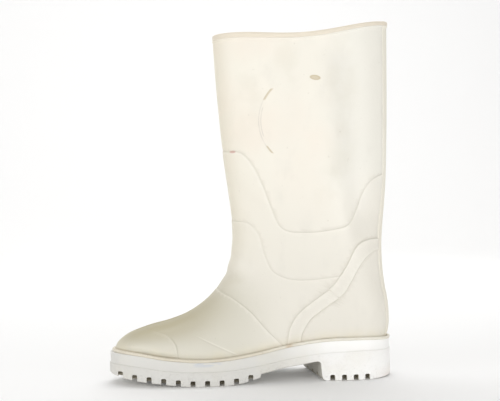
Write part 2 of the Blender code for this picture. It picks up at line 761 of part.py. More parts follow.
def insole_mesh():
    """The loose sock on the sole, clear of the upper's inner skin all round."""

    def inset(extra):
        def drawn_in(station):
            near_toe = np.clip(1 - station / INSOLE_END_RUN, 0, 1)
            near_heel = np.clip(1 - (SOLE_LENGTH - station) / INSOLE_END_RUN, 0, 1)
            ends = INSOLE_TOE_ROOM * near_toe**2 + INSOLE_HEEL_ROOM * near_heel**2
            return -(ledge(station) + WALL + INSOLE_SIDE_ROOM + ends + extra)

        return drawn_in

    top = GAP + INSOLE_THICKNESS
    return plate_mesh(
        np.linspace(0, math.pi, SOLE_STEPS - 5),
        [
            (inset(0), rim_plus(GAP)),
            (inset(0), rim_plus(top - INSOLE_ROUND)),
            (inset(INSOLE_ROUND), rim_plus(top)),
        ],
    )


def bar(bm, station, width, across, top, along=False):
    """A cutter with a round top, running across the boot, or along it from station to station."""
    half = width / 2
    profile = [(half, -BELOW_FLOOR), (half, top - half)]
    for i in range(1, NOTCH_ARC_STEPS):
        angle = math.pi * i / NOTCH_ARC_STEPS
        profile.append((half * math.cos(angle), top - half + half * math.sin(angle)))
    profile += [(-half, top - half), (-half, -BELOW_FLOOR)]
    if along:
        ends = [[bm.verts.new((s, across + x, z)) for x, z in profile] for s in station]
    else:
        ends = [[bm.verts.new((station + x, y, z)) for x, z in profile] for y in across]
    for end in ends:
        bm.faces.new(end)
    count = len(profile)
    for i in range(count):
        bm.faces.new([ends[0][i], ends[0][(i + 1) % count], ends[1][(i + 1) % count], ends[1][i]])


def edge_at(station, side, offset=0.0):
    """Where an edge of the sole lies across the boot at a station."""
    edge = outline(ALL_TURNS, side, offset)
    return float(np.interp(station, edge[0], edge[1]))


def notch_stations():
    """Stations of the notches, each with its reach in from the edge."""
    fore = [FIRST_NOTCH + NOTCH_PITCH * i for i in range(FOREFOOT_NOTCHES)]
    heel = [FIRST_HEEL_NOTCH + HEEL_NOTCH_PITCH * i for i in range(HEEL_NOTCHES)]
    return [(s, NOTCH_REACH) for s in fore] + [(s, HEEL_NOTCH_REACH) for s in heel]


def notch_cutter():
    """Notches between the lugs, in from both edges of forefoot and heel and from the breast."""
    bm = bmesh.new()
    for station, reach in notch_stations():
        top = float(tread_height(station)) + LUG_DEPTH
        for side in SIDES:
            edge = edge_at(station, side)
            stop = edge - side * min(reach, abs(edge - edge_at(station, -side)) / 2 - CHANNEL_WIDTH)
            bar(bm, station, NOTCH_WIDTH, (stop, edge + side * PAST_EDGE), top)
    inner, outer = (edge_at(BREAST_STATION, side) for side in SIDES)
    for across in BREAST_NOTCHES:
        breast = BREAST_STATION - BREAST_SLANT * (across - inner) / (outer - inner)
        ends = (breast - PAST_EDGE, breast + BREAST_NOTCH_REACH)
        bar(bm, ends, NOTCH_WIDTH, across, LUG_DEPTH, along=True)
    return bm


def channel_cutter():
    """A channel on each side of the forefoot, inside its row of lugs."""
    bm = bmesh.new()
    turns = np.linspace(*turn_of(np.array(CHANNEL_STATIONS)), CHANNEL_STEPS)
    for side in SIDES:
        near = outline(turns, side, -CHANNEL_INSET).T
        far = outline(turns, side, -CHANNEL_INSET - CHANNEL_WIDTH).T
        top = tread_height(station_of(turns)) + CHANNEL_DEPTH
        low = np.full_like(top, -BELOW_FLOOR)
        rows = []
        for wall, height in ((near, low), (far, low), (far, top), (near, top)):
            rows.append([bm.verts.new((*p, z)) for p, z in zip(wall, height)])
        grid_faces(bm, rows + rows[:1], flip=False)
        for k in (0, -1):
            bm.faces.new([row[k] for row in rows])
    return bm


def middle_cutter():
    """Grooves between the bars in the middle of the forefoot, half a pitch from the notches."""
    bm = bmesh.new()
    for i in range(2, FOREFOOT_NOTCHES - 1):
        station = FIRST_NOTCH + NOTCH_PITCH * (i + 0.5)
        ends = [edge_at(station, side, -CHANNEL_INSET - CHANNEL_WIDTH / 2) for side in SIDES]
        bar(bm, station, NOTCH_WIDTH, ends, float(tread_height(station)) + MIDDLE_DEPTH)
    return bm


def in_frame(bm):
    """Moves a mesh from stations to the boot's own frame, with the origin under its middle."""
    middle = (LAST["foot"].max() + RIM_RAISE + BACK_STRIP_RAISE - BAND_PROUD) / 2
    bmesh.ops.translate(bm, verts=bm.verts[:], vec=(-middle, 0, 0))


def new_object(name, bm):
    """An object in the scene, made from a mesh in stations."""
    in_frame(bm)
    bmesh.ops.recalc_face_normals(bm, faces=bm.faces[:])
    mesh = bpy.data.meshes.new(name)
    bm.to_mesh(mesh)
    bm.free()
    obj = bpy.data.objects.new(name, mesh)
    bpy.context.scene.collection.objects.link(obj)
    return obj


def finish_of(name, colour, roughness):
    """A plain material with a colour and a roughness."""
    material = bpy.data.materials.new(name)
    material.use_nodes = True
    shader = material.node_tree.nodes["Principled BSDF"]
    shader.inputs["Base Color"].default_value = colour
    shader.inputs["Roughness"].default_value = roughness
    shader.inputs["Metallic"].default_value = 0.0
    return material


def cut(obj, name, bm):
    """Takes the shape of a cutter out of an object."""
    cutter = new_object(name, bm)
    cutter.hide_render = True
    cutter.display_type = "WIRE"
    modifier = obj.modifiers.new(name, "BOOLEAN")
    modifier.operation = "DIFFERENCE"
    modifier.object = cutter


def main():
    """Clears the scene and builds the four pieces of the boot."""
    for obj in list(bpy.data.objects):
        bpy.data.objects.remove(obj)
    boot = bpy.data.objects.new("boot", None)
    bpy.context.scene.collection.objects.link(boot)
    outsole = new_object("outsole", outsole_mesh())
    cut(outsole, "notch_cutter", notch_cutter())
    cut(outsole, "channel_cutter", channel_cutter())
    cut(outsole, "middle_cutter", middle_cutter())
    pieces = (
        (outsole, finish_of("sole_pvc", SOLE_WHITE, 0.55)),
        (new_object("welt", welt_mesh()), finish_of("welt_pvc", WELT_CREAM, 0.5)),
        (new_object("upper", upper_mesh()), finish_of("upper_pvc", UPPER_CREAM, 0.45)),
        (new_object("insole", insole_mesh()), finish_of("insole_felt", INSOLE_FELT, 0.9)),
    )
    for obj, material in pieces:
        obj.data.materials.append(material)
        obj.parent = boot


main()
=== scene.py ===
"""White PVC work boot for the right foot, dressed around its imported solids.

Lengths are in metres, and the tables are in millimetres. A station is a distance back from the tip of
the sole's toe. The toe points to -X, the inner side of the foot is -Y, and the floor is Z = 0.
"""

import math

import bmesh
import bpy
import numpy as np
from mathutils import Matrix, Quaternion, Vector
from mathutils.kdtree import KDTree


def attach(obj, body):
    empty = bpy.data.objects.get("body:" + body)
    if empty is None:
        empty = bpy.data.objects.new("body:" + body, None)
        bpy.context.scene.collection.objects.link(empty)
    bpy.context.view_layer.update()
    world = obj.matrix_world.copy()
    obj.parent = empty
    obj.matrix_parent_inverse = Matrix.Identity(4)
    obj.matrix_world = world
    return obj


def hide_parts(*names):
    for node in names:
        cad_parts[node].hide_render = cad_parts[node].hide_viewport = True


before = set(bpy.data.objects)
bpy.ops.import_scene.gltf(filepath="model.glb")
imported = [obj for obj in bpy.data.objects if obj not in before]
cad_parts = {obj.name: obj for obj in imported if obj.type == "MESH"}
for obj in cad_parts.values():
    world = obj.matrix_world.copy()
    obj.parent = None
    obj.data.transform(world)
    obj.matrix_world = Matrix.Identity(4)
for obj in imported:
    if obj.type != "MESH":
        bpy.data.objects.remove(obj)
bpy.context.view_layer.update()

# Outsole
# The sole is a shot of hard white PVC, moulded under the finished upper. Its side is smooth above, and
# rough below, where it stands a little proud, and notches between the lugs run in from its edge.

MM = 0.001
SOLE_LENGTH = 300 * MM
ORIGIN_STATION = 151.15 * MM
INNER, OUTER = -1, 1
SIDES = (INNER, OUTER)
TINY = 1e-6

SOLE_COLUMNS = "station inner outer rim step"
SOLE_TABLE = (
    (0, -9, -9, 33.2, 21.4),
    (12, -33, 15, 33.2, 21.4),
    (30, -43, 28, 31.7, 20.0),
    (60, -51, 41.5, 27.4, 16.2),
    (95, -53.5, 50.5, 24.9, 14.6),
    (125, -51, 53.5, 26.2, 15.2),
    (155, -45.5, 51.5, 30.3, 18.6),
    (185, -39.5, 46.5, 36.0, 23.6),
    (220, -37, 41.5, 40.6, 28.2),
    (255, -38.5, 39.5, 42.2, 30.3),
    (285, -29.5, 30, 41.0, 30.0),
    (300, 0, 0, 39.6, 29.2),
)
TREAD_COLUMNS = "station height"
TREAD_TABLE = (
    (0, 11.2),
    (12, 8.4),
    (30, 5.4),
    (60, 2.3),
    (85, 0.0),
    (122, 0.0),
    (138, 1.8),
    (156, 6.4),
    (157.5, 10.2),
    (178, 14.6),
    (200, 17.9),
    (217.6, 20.5),
    (219.3, 20.0),
    (220.6, 18.8),
    (221.1, 17.0),
    (222.2, 5.0),
    (222.9, 2.5),
    (224.7, 0.7),
    (227.2, 0.0),
    (276, 0.0),
    (300, 1.6),
)
TREAD_CORNERS = slice(4, -1)
SOLE_STEPS = 150
CORNER_CLEAR = math.pi / SOLE_STEPS / 3
EDGE_TURNS = np.linspace(0, math.pi, 400)
BREAST_STATION, BREAST_SLANT, BREAST_FADE = 221.5 * MM, 11 * MM, 65 * MM
BAND_PROUD = 0.9 * MM
BAND_BEVEL = 0.9 * MM
# The band's upper edge: shares of how far the band stands out, and of its bevel above the step
BAND_EDGE = ((1.0, -0.3), (0.8, 0.15), (0.15, 0.8), (0.0, 1.3))
TREAD_ROUND = 1.2 * MM
RIM_ROUND = 0.5 * MM
ROUND_SHARE = 1 - math.sqrt(0.5)


def column(names, table, name):
    """One column of a table, as an array."""
    return np.array([row[names.split().index(name)] for row in table], float)


def smooth(xs, ys, at):
    """A smooth curve through the points (xs, ys), read at the places at."""
    xs, ys, at = np.asarray(xs, float), np.asarray(ys, float), np.asarray(at, float)
    slopes = np.gradient(ys, xs)
    i = np.clip(np.searchsorted(xs, at, side="right") - 1, 0, len(xs) - 2)
    run = xs[i + 1] - xs[i]
    t = np.clip((at - xs[i]) / run, 0, 1)
    rise = t * t * (3 - 2 * t)
    lead = t * (1 - t) * (1 - t) * slopes[i] - t * t * (1 - t) * slopes[i + 1]
    return ys[i] * (1 - rise) + ys[i + 1] * rise + run * lead


def turn_of(station):
    """The angle that stands for a station, so that the sole's ends come out round."""
    return np.arccos(1 - 2 * np.clip(np.asarray(station, float) / SOLE_LENGTH, 0, 1))


def station_of(turn):
    """The station that an angle stands for."""
    return SOLE_LENGTH * (1 - np.cos(turn)) / 2


SOLE_STATIONS = column(SOLE_COLUMNS, SOLE_TABLE, "station") * MM
TREAD_STATIONS = column(TREAD_COLUMNS, TREAD_TABLE, "station") * MM


def sole_height(name, station):
    """Height of the sole's rim or of its step at a station."""
    return smooth(SOLE_STATIONS, column(SOLE_COLUMNS, SOLE_TABLE, name), station) * MM


def tread_height(station):
    """Height of the sole's bottom at a station on its inner edge."""
    return np.interp(station, TREAD_STATIONS, column(TREAD_COLUMNS, TREAD_TABLE, "height") * MM)


def slanted(station, side):
    """The station on one edge across from one on the inner edge, along lines like the breast's."""
    share = np.clip(1 - np.abs(station - BREAST_STATION) / BREAST_FADE, 0, 1)
    return station - (BREAST_SLANT * share if side == OUTER else 0)


def outline(turn, side, offset=0.0):
    """Stations and places across of one edge of the sole, moved outwards by offset."""
    edge = column(SOLE_COLUMNS, SOLE_TABLE, "inner" if side == INNER else "outer") * MM

    def place(at):
        return np.stack([station_of(at), smooth(turn_of(SOLE_STATIONS), edge, at)])

    run = place(np.clip(turn + TINY, 0, math.pi)) - place(np.clip(turn - TINY, 0, math.pi))
    run = run / np.linalg.norm(run, axis=0)
    return place(turn) + offset * side * np.stack([-run[1], run[0]])


def over(line, rise):
    """Heights over the sole's rim, step or tread, from stations on an edge and on the inner edge."""

    def height(station, inner_station):
        base = tread_height(inner_station) if line == "tread" else sole_height(line, station)
        return base + rise

    return height


def loop_round(turns, offset, height):
    """A closed loop round the boot: back along the inner edge, and forward along the outer one."""
    halves = []
    for side in SIDES:
        station, across = outline(turn_of(slanted(station_of(turns), side)), side, offset)
        z = height(np.clip(station, 0, SOLE_LENGTH), station_of(turns))
        halves.append(np.stack([station - ORIGIN_STATION, across, z], axis=1))
    return np.concatenate([halves[0], halves[1][-2:0:-1]])


def plate_of(name, loops):
    """A closed plate: its side through the loops, and strips across its bottom and its top."""
    bm = bmesh.new()
    rows = [[bm.verts.new(p) for p in loop] for loop in loops]
    count = len(rows[0])
    for low, high in zip(rows, rows[1:]):
        for i in range(count):
            j = (i + 1) % count
            bm.faces.new((low[i], low[j], high[j], high[i]))
    for row in (rows[0], rows[-1]):
        for i in range(count // 2):
            ring = (row[i], row[i + 1], row[-i - 1], row[-i])
            bm.faces.new(dict.fromkeys(ring))
    bmesh.ops.recalc_face_normals(bm, faces=bm.faces[:])
    return piece_of(name, bm)


def placed(name, data):
    """A new object in the scene."""
    made = bpy.data.objects.new(name, data)
    bpy.context.scene.collection.objects.link(made)
    return made


def piece_of(name, bm):
    """An object in the scene, made from a mesh in the boot's frame."""
    mesh = bpy.data.meshes.new(name)
    bm.to_mesh(mesh)
    bm.free()
    return placed(name, mesh)


def soften(mesh, angle):
    """Smooth shading, with creases where faces meet at more than an angle."""
    bm = bmesh.new()
    bm.from_mesh(mesh)
    for face in bm.faces:
        face.smooth = True
    for edge in bm.edges:
        edge.smooth = len(edge.link_faces) == 2 and edge.calc_face_angle() < angle
    bm.to_mesh(mesh)
    bm.free()


# Sockets of a node that mixes colours: its share, the two colours that go in, and the one that comes out
MIX_SHARE, MIX_FROM, MIX_TO, MIX_RESULT = 0, 6, 7, 2


class Wire:
    """A socket in a node tree, so that sums on sockets read as plain maths."""

    def __init__(self, tree, socket=None):
        self.tree = tree
        self.socket = socket

    def node(self, kind, settings=None, inputs=None, output=0):
        """Adds a node: its settings come first, then the values or links of its sockets."""
        made = self.tree.nodes.new(kind)
        for name, value in (settings or {}).items():
            setattr(made, name, value)
        for name, value in (inputs or {}).items():
            if isinstance(value, Wire):
                self.tree.links.new(value.socket, made.inputs[name])
            else:
                made.inputs[name].default_value = value
        return Wire(self.tree, made.outputs[output] if made.outputs else None)

    def maths(self, operation, *values):
        """A Math node on some values."""
        return self.node("ShaderNodeMath", {"operation": operation}, dict(enumerate(values)))

    def __add__(self, other):
        return self.maths("ADD", self, other)

    def __sub__(self, other):
        return self.maths("SUBTRACT", self, other)

    def __rsub__(self, other):
        return self.maths("SUBTRACT", other, self)

    def __mul__(self, other):
        return self.maths("MULTIPLY", self, other)

    def __truediv__(self, other):
        return self.maths("DIVIDE", self, other)

    def __pow__(self, other):
        return self.maths("POWER", self, other)

    def __abs__(self):
        return self.maths("ABSOLUTE", self)

    __radd__ = __add__
    __rmul__ = __mul__

    def step(self, low, high):
        """A soft step that is 0 at low and 1 at high."""
        inputs = {"Value": self, "From Min": low, "From Max": high}
        return self.node("ShaderNodeMapRange", {"interpolation_type": "SMOOTHSTEP"}, inputs)

    def tint(self, plain, marked):
        """A colour that goes from plain to marked with this mask."""
        inputs = {MIX_SHARE: self, MIX_FROM: plain, MIX_TO: marked}
        return self.node("ShaderNodeMix", {"data_type": "RGBA"}, inputs, MIX_RESULT)


class Finish:
    """A material of one piece: its places and noises to read, and the sockets of its shader to feed."""

    def __init__(self, name):
        self.material = bpy.data.materials.new(name)
        self.material.use_nodes = True
        self.tree = self.material.node_tree
        self.shader = self.tree.nodes["Principled BSDF"]
        self.start = Wire(self.tree)
        self.place = self.start.node("ShaderNodeTexCoord", output="Object")
        self.x, self.y, self.z = self.split(self.place)

    def split(self, vector):
        """The three parts of a place or a direction."""
        return [self.start.node("ShaderNodeSeparateXYZ", None, {0: vector}, part) for part in "XYZ"]

    def noise(self, scale, detail=2.0, stretch=(1, 1, 1)):
        """Even noise over the piece, with about scale spots to the metre."""
        place = self.start.node("ShaderNodeMapping", None, {"Vector": self.place, "Scale": stretch})
        inputs = {"Vector": place, "Scale": scale, "Detail": detail}
        return self.start.node("ShaderNodeTexNoise", None, inputs)

    def attribute(self, name):
        """A value that the mesh carries at its points."""
        return self.start.node("ShaderNodeAttribute", {"attribute_name": name}, output="Fac")

    def feed(self, socket, value):
        """Links or sets a socket of the shader."""
        if isinstance(value, Wire):
            self.tree.links.new(value.socket, self.shader.inputs[socket])
        else:
            self.shader.inputs[socket].default_value = value

    def bump(self, height, distance):
        """Feeds the shader's normal from a height that is worth distance where it is 1."""
        inputs = {"Height": height, "Distance": distance, "Strength": 1.0}
        self.feed("Normal", self.start.node("ShaderNodeBump", None, inputs))


def layered(colour, layers):
    """A colour under some layers: each has the share of it that shows, and a colour of its own."""
    for share, laid in layers:
        colour = share.tint(colour, laid)
    return colour


def evaluated_mesh(piece):
    """A new mesh of a piece as its modifiers leave it."""
    bpy.context.view_layer.update()
    graph = bpy.context.evaluated_depsgraph_get()
    return bpy.data.meshes.new_from_object(piece.evaluated_get(graph))


def grown(tree, carrier, name, sizes):
    """The result of a tree of geometry nodes on a carrier, as a plain object. The carrier goes."""
    modifier = carrier.modifiers.new(tree.name, "NODES")
    modifier.node_group = tree
    for item in tree.interface.items_tree:
        if item.in_out == "INPUT" and item.name in sizes:
            modifier[item.identifier] = sizes[item.name]
    mesh = evaluated_mesh(carrier)
    mesh.name = name
    bpy.data.objects.remove(carrier)
    return placed(name, mesh)


def new_tree(name, inputs):
    """An empty tree of geometry nodes with named inputs: gives a wire to build on, and the inputs."""
    tree = bpy.data.node_groups.new(name, "GeometryNodeTree")
    tree.interface.new_socket("Geometry", in_out="INPUT", socket_type="NodeSocketGeometry")
    for title, kind in inputs.items():
        tree.interface.new_socket(title, in_out="INPUT", socket_type=kind)
    tree.interface.new_socket("Geometry", in_out="OUTPUT", socket_type="NodeSocketGeometry")
    given = tree.nodes.new("NodeGroupInput")
    return Wire(tree), {s.name: Wire(tree, s) for s in given.outputs if s.name}


def end_tree(start, geometry, material):
    """Ends a tree with plain geometry in one material."""
    plain = start.node("GeometryNodeRealizeInstances", None, {0: geometry})
    dressed = start.node("GeometryNodeSetMaterial", None, {"Geometry": plain, "Material": material})
    start.node("NodeGroupOutput", None, {0: dressed})


SOLE_WHITE = (0.69, 0.682, 0.652, 1)
# Whiter PVC at the heel, and painted light: the sole grows brighter towards the heel, as if lit more
# strongly there
SOLE_HEEL_WHITE_AND_LIGHT = (0.95, 0.945, 0.93, 1)
SOLE_YELLOW = (0.76, 0.72, 0.60, 1)
SOLE_GREY = (0.52, 0.51, 0.48, 1)
SOLE_BLUE_SMEAR = (0.52, 0.56, 0.64, 1)
SOLE_PINK = (0.80, 0.68, 0.60, 1)
SOLE_DUST_AND_SHADE = (0.46, 0.44, 0.38, 1)
SOLE_WORN_AND_SHADE = (0.34, 0.32, 0.26, 1)
SMEAR_PLACE = (-50 * MM, 23 * MM)

sole_finish = Finish("sole_pvc_white")
rough_band = sole_finish.attribute("rough_band")
step_line = sole_finish.attribute("step_line")
speckle = sole_finish.noise(620, 4).step(0.52, 0.70)
patches = sole_finish.noise(28, 3).step(0.42, 0.72)
near_ground = sole_finish.z.step(20 * MM, 2 * MM)
at_heel = sole_finish.x.step(10 * MM, 90 * MM)
smear_across = abs(sole_finish.z - SMEAR_PLACE[1]).step(4.0 * MM, 0.6 * MM)
smear_along = abs(sole_finish.x - SMEAR_PLACE[0]).step(19 * MM, 9 * MM)
smear_grain = sole_finish.noise(260, 3, (0.3, 1, 1)).step(0.40, 0.62)
smear = smear_across * smear_along * smear_grain * sole_finish.y.step(-20 * MM, -35 * MM)
heel_end = sole_finish.x.step(120 * MM, 148 * MM) * sole_finish.z.step(16 * MM, 2 * MM)
breast = sole_finish.attribute("breast")
# Wear and painted shade on faces that turn down: under the sole and round its lower edge
sole_normal = sole_finish.start.node("ShaderNodeNewGeometry", output="Normal")
facing_down = sole_finish.split(sole_normal)[-1].step(-0.2, -0.6)
worn_and_shaded_underside = facing_down * sole_finish.noise(190, 3).step(0.30, 0.60)
sole_layers = (
    # Brighter towards the heel: whiter PVC and painted light
    (at_heel, SOLE_HEEL_WHITE_AND_LIGHT),
    (0.25 * patches, SOLE_YELLOW),
    (0.22 * speckle * rough_band * (0.3 + 0.7 * near_ground), SOLE_GREY),
    (0.60 * smear, SOLE_BLUE_SMEAR),
    (0.30 * heel_end, SOLE_PINK),
    # Dust and painted shade in a thin line along the bevel over the step
    (0.30 * step_line, SOLE_DUST_AND_SHADE),
    # Dust and painted shade on the heel's breast, which faces the toe under the arch
    (0.75 * breast, SOLE_DUST_AND_SHADE),
    # Wear and painted shade on faces that turn down
    (0.75 * worn_and_shaded_underside, SOLE_WORN_AND_SHADE),
)
sole_finish.feed("Base Color", layered(SOLE_WHITE, sole_layers))
sole_finish.feed("Roughness", 0.46 + 0.16 * rough_band + 0.08 * patches)
sole_finish.bump(speckle * rough_band + 0.35 * sole_finish.noise(1500), 0.20 * MM)

GROOVE_DIRT_AND_SHADE = (0.30, 0.26, 0.19, 1)
GROOVE_DUST_AND_LIGHT = (0.56, 0.53, 0.44, 1)
GROOVE_LIP = (0.72, 0.69, 0.60, 1)

groove_finish = Finish("lug_groove_dirt_and_shade")
groove_patches = groove_finish.noise(240, 4).step(0.38, 0.66)
# Darker deeper in: dirt and painted shade inside the notches and channels
in_groove = groove_finish.attribute("depth").step(1.0 * MM, 8 * MM)
# Dust and painted light low in each notch, near the floor, as light comes in under the lugs
near_floor = groove_finish.attribute("above_tread").step(4.2 * MM, 0.6 * MM)
groove_colour = (0.35 * groove_patches + 0.65 * near_floor).tint(GROOVE_DIRT_AND_SHADE, GROOVE_DUST_AND_LIGHT)
groove_finish.feed("Base Color", in_groove.tint(GROOVE_LIP, groove_colour))
groove_finish.feed("Roughness", 0.9)
groove_finish.bump(groove_finish.noise(900, 4), 0.4 * MM)

tread_corners = turn_of(TREAD_STATIONS[TREAD_CORNERS])
sole_turns = np.linspace(0, math.pi, SOLE_STEPS + 1)
from_corners = np.abs(sole_turns[:, None] - tread_corners[None]).min(1)
sole_turns = np.sort(np.concatenate([sole_turns[from_corners > CORNER_CLEAR], tread_corners]))
sole_loops = (
    (BAND_PROUD - TREAD_ROUND, over("tread", 0)),
    (BAND_PROUD - TREAD_ROUND * ROUND_SHARE, over("tread", TREAD_ROUND * ROUND_SHARE)),
    (BAND_PROUD, over("tread", TREAD_ROUND)),
    *((BAND_PROUD * out, over("step", BAND_BEVEL * rise)) for out, rise in BAND_EDGE),
    (0.0, over("rim", -RIM_ROUND)),
    (-RIM_ROUND * ROUND_SHARE, over("rim", -RIM_ROUND * ROUND_SHARE)),
    (-RIM_ROUND, over("rim", 0)),
)
outsole = plate_of("outsole_moulding", [loop_round(sole_turns, *loop) for loop in sole_loops])

LUG_DEPTH = 6.4 * MM
NOTCH_WIDTH = 5.2 * MM
NOTCH_REACH = 12 * MM
HEEL_NOTCH_REACH = 11 * MM
BREAST_NOTCHES = (-18 * MM, 2 * MM, 22 * MM)
BREAST_NOTCH_REACH = 13 * MM
CHANNEL_INSET = 23 * MM
CHANNEL_WIDTH = 4.5 * MM
CHANNEL_DEPTH = 5.8 * MM
MIDDLE_DEPTH = 4.6 * MM
FIRST_NOTCH, NOTCH_PITCH, FOREFOOT_NOTCHES = 11.3 * MM, 15.0 * MM, 10
MIDDLE_BARS = range(2, FOREFOOT_NOTCHES - 1)
FIRST_HEEL_NOTCH, HEEL_NOTCH_PITCH, HEEL_NOTCHES = 233.2 * MM, 12.4 * MM, 4
CHANNEL_STATIONS = (34 * MM, 149 * MM)
CHANNEL_STEPS = 24
NOTCH_ROUND = 1.4 * MM
NOTCH_ARC_STEPS = 5
PAST_EDGE = 20 * MM
BELOW_FLOOR = 6 * MM
STEP_LINE_RISE, STEP_LINE_HALF = 0.45 * MM, 0.6 * MM
BREAST_FACING = (0.25, 0.9)
BREAST_SHADE_FROM = 50 * MM
BREAST_SHADE_BELOW = 21 * MM
ROUGH_BELOW = 0.2 * BAND_BEVEL
SOLE_CREASE = math.radians(32)


def edge_at(station, side, offset=0.0):
    """Where an edge of the sole lies across the boot at a station."""
    edge = outline(EDGE_TURNS, side, offset)
    return float(np.interp(station, edge[0], edge[1]))


def notch_bar():
    """A bar one metre long with round upper corners, that stands for one notch before it is scaled."""
    half = NOTCH_WIDTH / 2
    turns = np.linspace(0, math.pi / 2, NOTCH_ARC_STEPS + 1)
    arc = [(half + NOTCH_ROUND * (math.cos(a) - 1), NOTCH_ROUND * (math.sin(a) - 1)) for a in turns]
    one_side = [(half, -LUG_DEPTH - BELOW_FLOOR), *arc]
    profile = one_side + [(-x, z) for x, z in reversed(one_side)]
    bm = bmesh.new()
    ends = [[bm.verts.new((x, y, z)) for x, z in profile] for y in (0, 1)]
    for end in ends:
        bm.faces.new(end)
    for i in range(len(profile)):
        j = (i + 1) % len(profile)
        bm.faces.new((ends[0][i], ends[0][j], ends[1][j], ends[1][i]))
    bmesh.ops.recalc_face_normals(bm, faces=bm.faces[:])
    return piece_of("notch_bar", bm)


def notch_runs():
    """Each notch as the place where it starts, its top, its length, and its turn from straight across."""
    runs = []
    fore = [(FIRST_NOTCH + NOTCH_PITCH * i, NOTCH_REACH) for i in range(FOREFOOT_NOTCHES)]
    heel = [(FIRST_HEEL_NOTCH + HEEL_NOTCH_PITCH * i, HEEL_NOTCH_REACH) for i in range(HEEL_NOTCHES)]
    for station, reach in fore + heel:
        edges = [edge_at(station, side) for side in SIDES]
        deepest = min(reach, abs(edges[1] - edges[0]) / 2 - CHANNEL_WIDTH)
        for side, edge in zip(SIDES, edges):
            start = min(edge - side * deepest, edge + side * PAST_EDGE)
            top = float(tread_height(station)) + LUG_DEPTH
            runs.append((station, start, top, deepest + PAST_EDGE, 0.0))
    for i in MIDDLE_BARS:
        station = FIRST_NOTCH + NOTCH_PITCH * (i + 0.5)
        start, end = (edge_at(station, side, -CHANNEL_INSET - CHANNEL_WIDTH / 2) for side in SIDES)
        runs.append((station, start, float(tread_height(station)) + MIDDLE_DEPTH, end - start, 0.0))
    inner, outer = (edge_at(BREAST_STATION, side) for side in SIDES)
    for across in BREAST_NOTCHES:
        breast = BREAST_STATION - BREAST_SLANT * (across - inner) / (outer - inner)
        runs.append((breast - PAST_EDGE, across, LUG_DEPTH, PAST_EDGE + BREAST_NOTCH_REACH, -math.pi / 2))
    return runs


def notch_places():
    """A point where each notch starts, which carries the notch's length and turn."""
    station, start, top, length, turn = np.array(notch_runs()).T
    none, whole = np.zeros(len(turn)), np.ones(len(turn))
    mesh = bpy.data.meshes.new("notch_places")
    mesh.from_pydata(np.stack([station - ORIGIN_STATION, start, top], axis=1).tolist(), [], [])
    for name, parts in (("notch_length", (whole, length, whole)), ("notch_turn", (none, none, turn))):
        carried = mesh.attributes.new(name, "FLOAT_VECTOR", "POINT")
        carried.data.foreach_set("vector", np.stack(parts, axis=1).astype(np.float32).ravel())
    return placed("notch_places", mesh)


bar = notch_bar()
notch_start, notch_inputs = new_tree("lug_notches", {"Bar": "NodeSocketObject"})
bar_shape = notch_start.node("GeometryNodeObjectInfo", None, {"Object": notch_inputs["Bar"]}, "Geometry")
bar_length, bar_turn = (
    notch_start.node("GeometryNodeInputNamedAttribute", {"data_type": "FLOAT_VECTOR"}, {"Name": carried})
    for carried in ("notch_length", "notch_turn")
)
bar_turn = notch_start.node("FunctionNodeEulerToRotation", None, {"Euler": bar_turn})
bars = notch_start.node(
    "GeometryNodeInstanceOnPoints",
    None,
    {
        "Points": notch_inputs["Geometry"],
        "Instance": bar_shape,
        "Scale": bar_length,
        "Rotation": bar_turn,
    },
)
end_tree(notch_start, bars, groove_finish.material)
notch_cutter = grown(notch_start.tree, notch_places(), "notch_cutter", {"Bar": bar})
bpy.data.objects.remove(bar)


def channel_cutter():
    """A channel on each side of the forefoot, inside its row of lugs."""
    bm = bmesh.new()
    turns = np.linspace(*turn_of(np.array(CHANNEL_STATIONS)), CHANNEL_STEPS)
    top = tread_height(station_of(turns)) + CHANNEL_DEPTH
    low = np.full_like(top, -BELOW_FLOOR)
    for side in SIDES:
        near = outline(turns, side, -CHANNEL_INSET).T
        far = outline(turns, side, -CHANNEL_INSET - CHANNEL_WIDTH).T
        rows = []
        for wall, height in ((near, low), (far, low), (far, top), (near, top)):
            rows.append([bm.verts.new((s - ORIGIN_STATION, y, z)) for (s, y), z in zip(wall, height)])
        for row, following in zip(rows, rows[1:] + rows[:1]):
            for i in range(CHANNEL_STEPS - 1):
                bm.faces.new((row[i], row[i + 1], following[i + 1], following[i]))
        for k in (0, -1):
            bm.faces.new([row[k] for row in rows])
    bmesh.ops.recalc_face_normals(bm, faces=bm.faces[:])
    return piece_of("channel_cutter", bm)


def cut_from(piece, cutters):
    """Takes cutters out of a piece, whose cut faces get the cutter's material."""
    for cutter in cutters:
        modifier = piece.modifiers.new(cutter.name, "BOOLEAN")
        modifier.operation = "DIFFERENCE"
        modifier.solver = "EXACT"
        modifier.material_mode = "TRANSFER"
        modifier.object = cutter
    mesh = evaluated_mesh(piece)
    piece.modifiers.clear()
    piece.data = mesh
    for cutter in cutters:
        bpy.data.objects.remove(cutter)


def point_places(mesh):
    """Places of a mesh's points, as an array."""
    places = np.zeros(3 * len(mesh.vertices), np.float32)
    mesh.vertices.foreach_get("co", places)
    return places.reshape(-1, 3).astype(float)


def store(mesh, name, values):
    """Keeps a value at each point of a mesh."""
    mesh.attributes.new(name, "FLOAT", "POINT").data.foreach_set("value", values.astype(np.float32))


outsole.data.materials.append(sole_finish.material)
channels = channel_cutter()
channels.data.materials.append(groove_finish.material)
cut_from(outsole, [notch_cutter, channels])
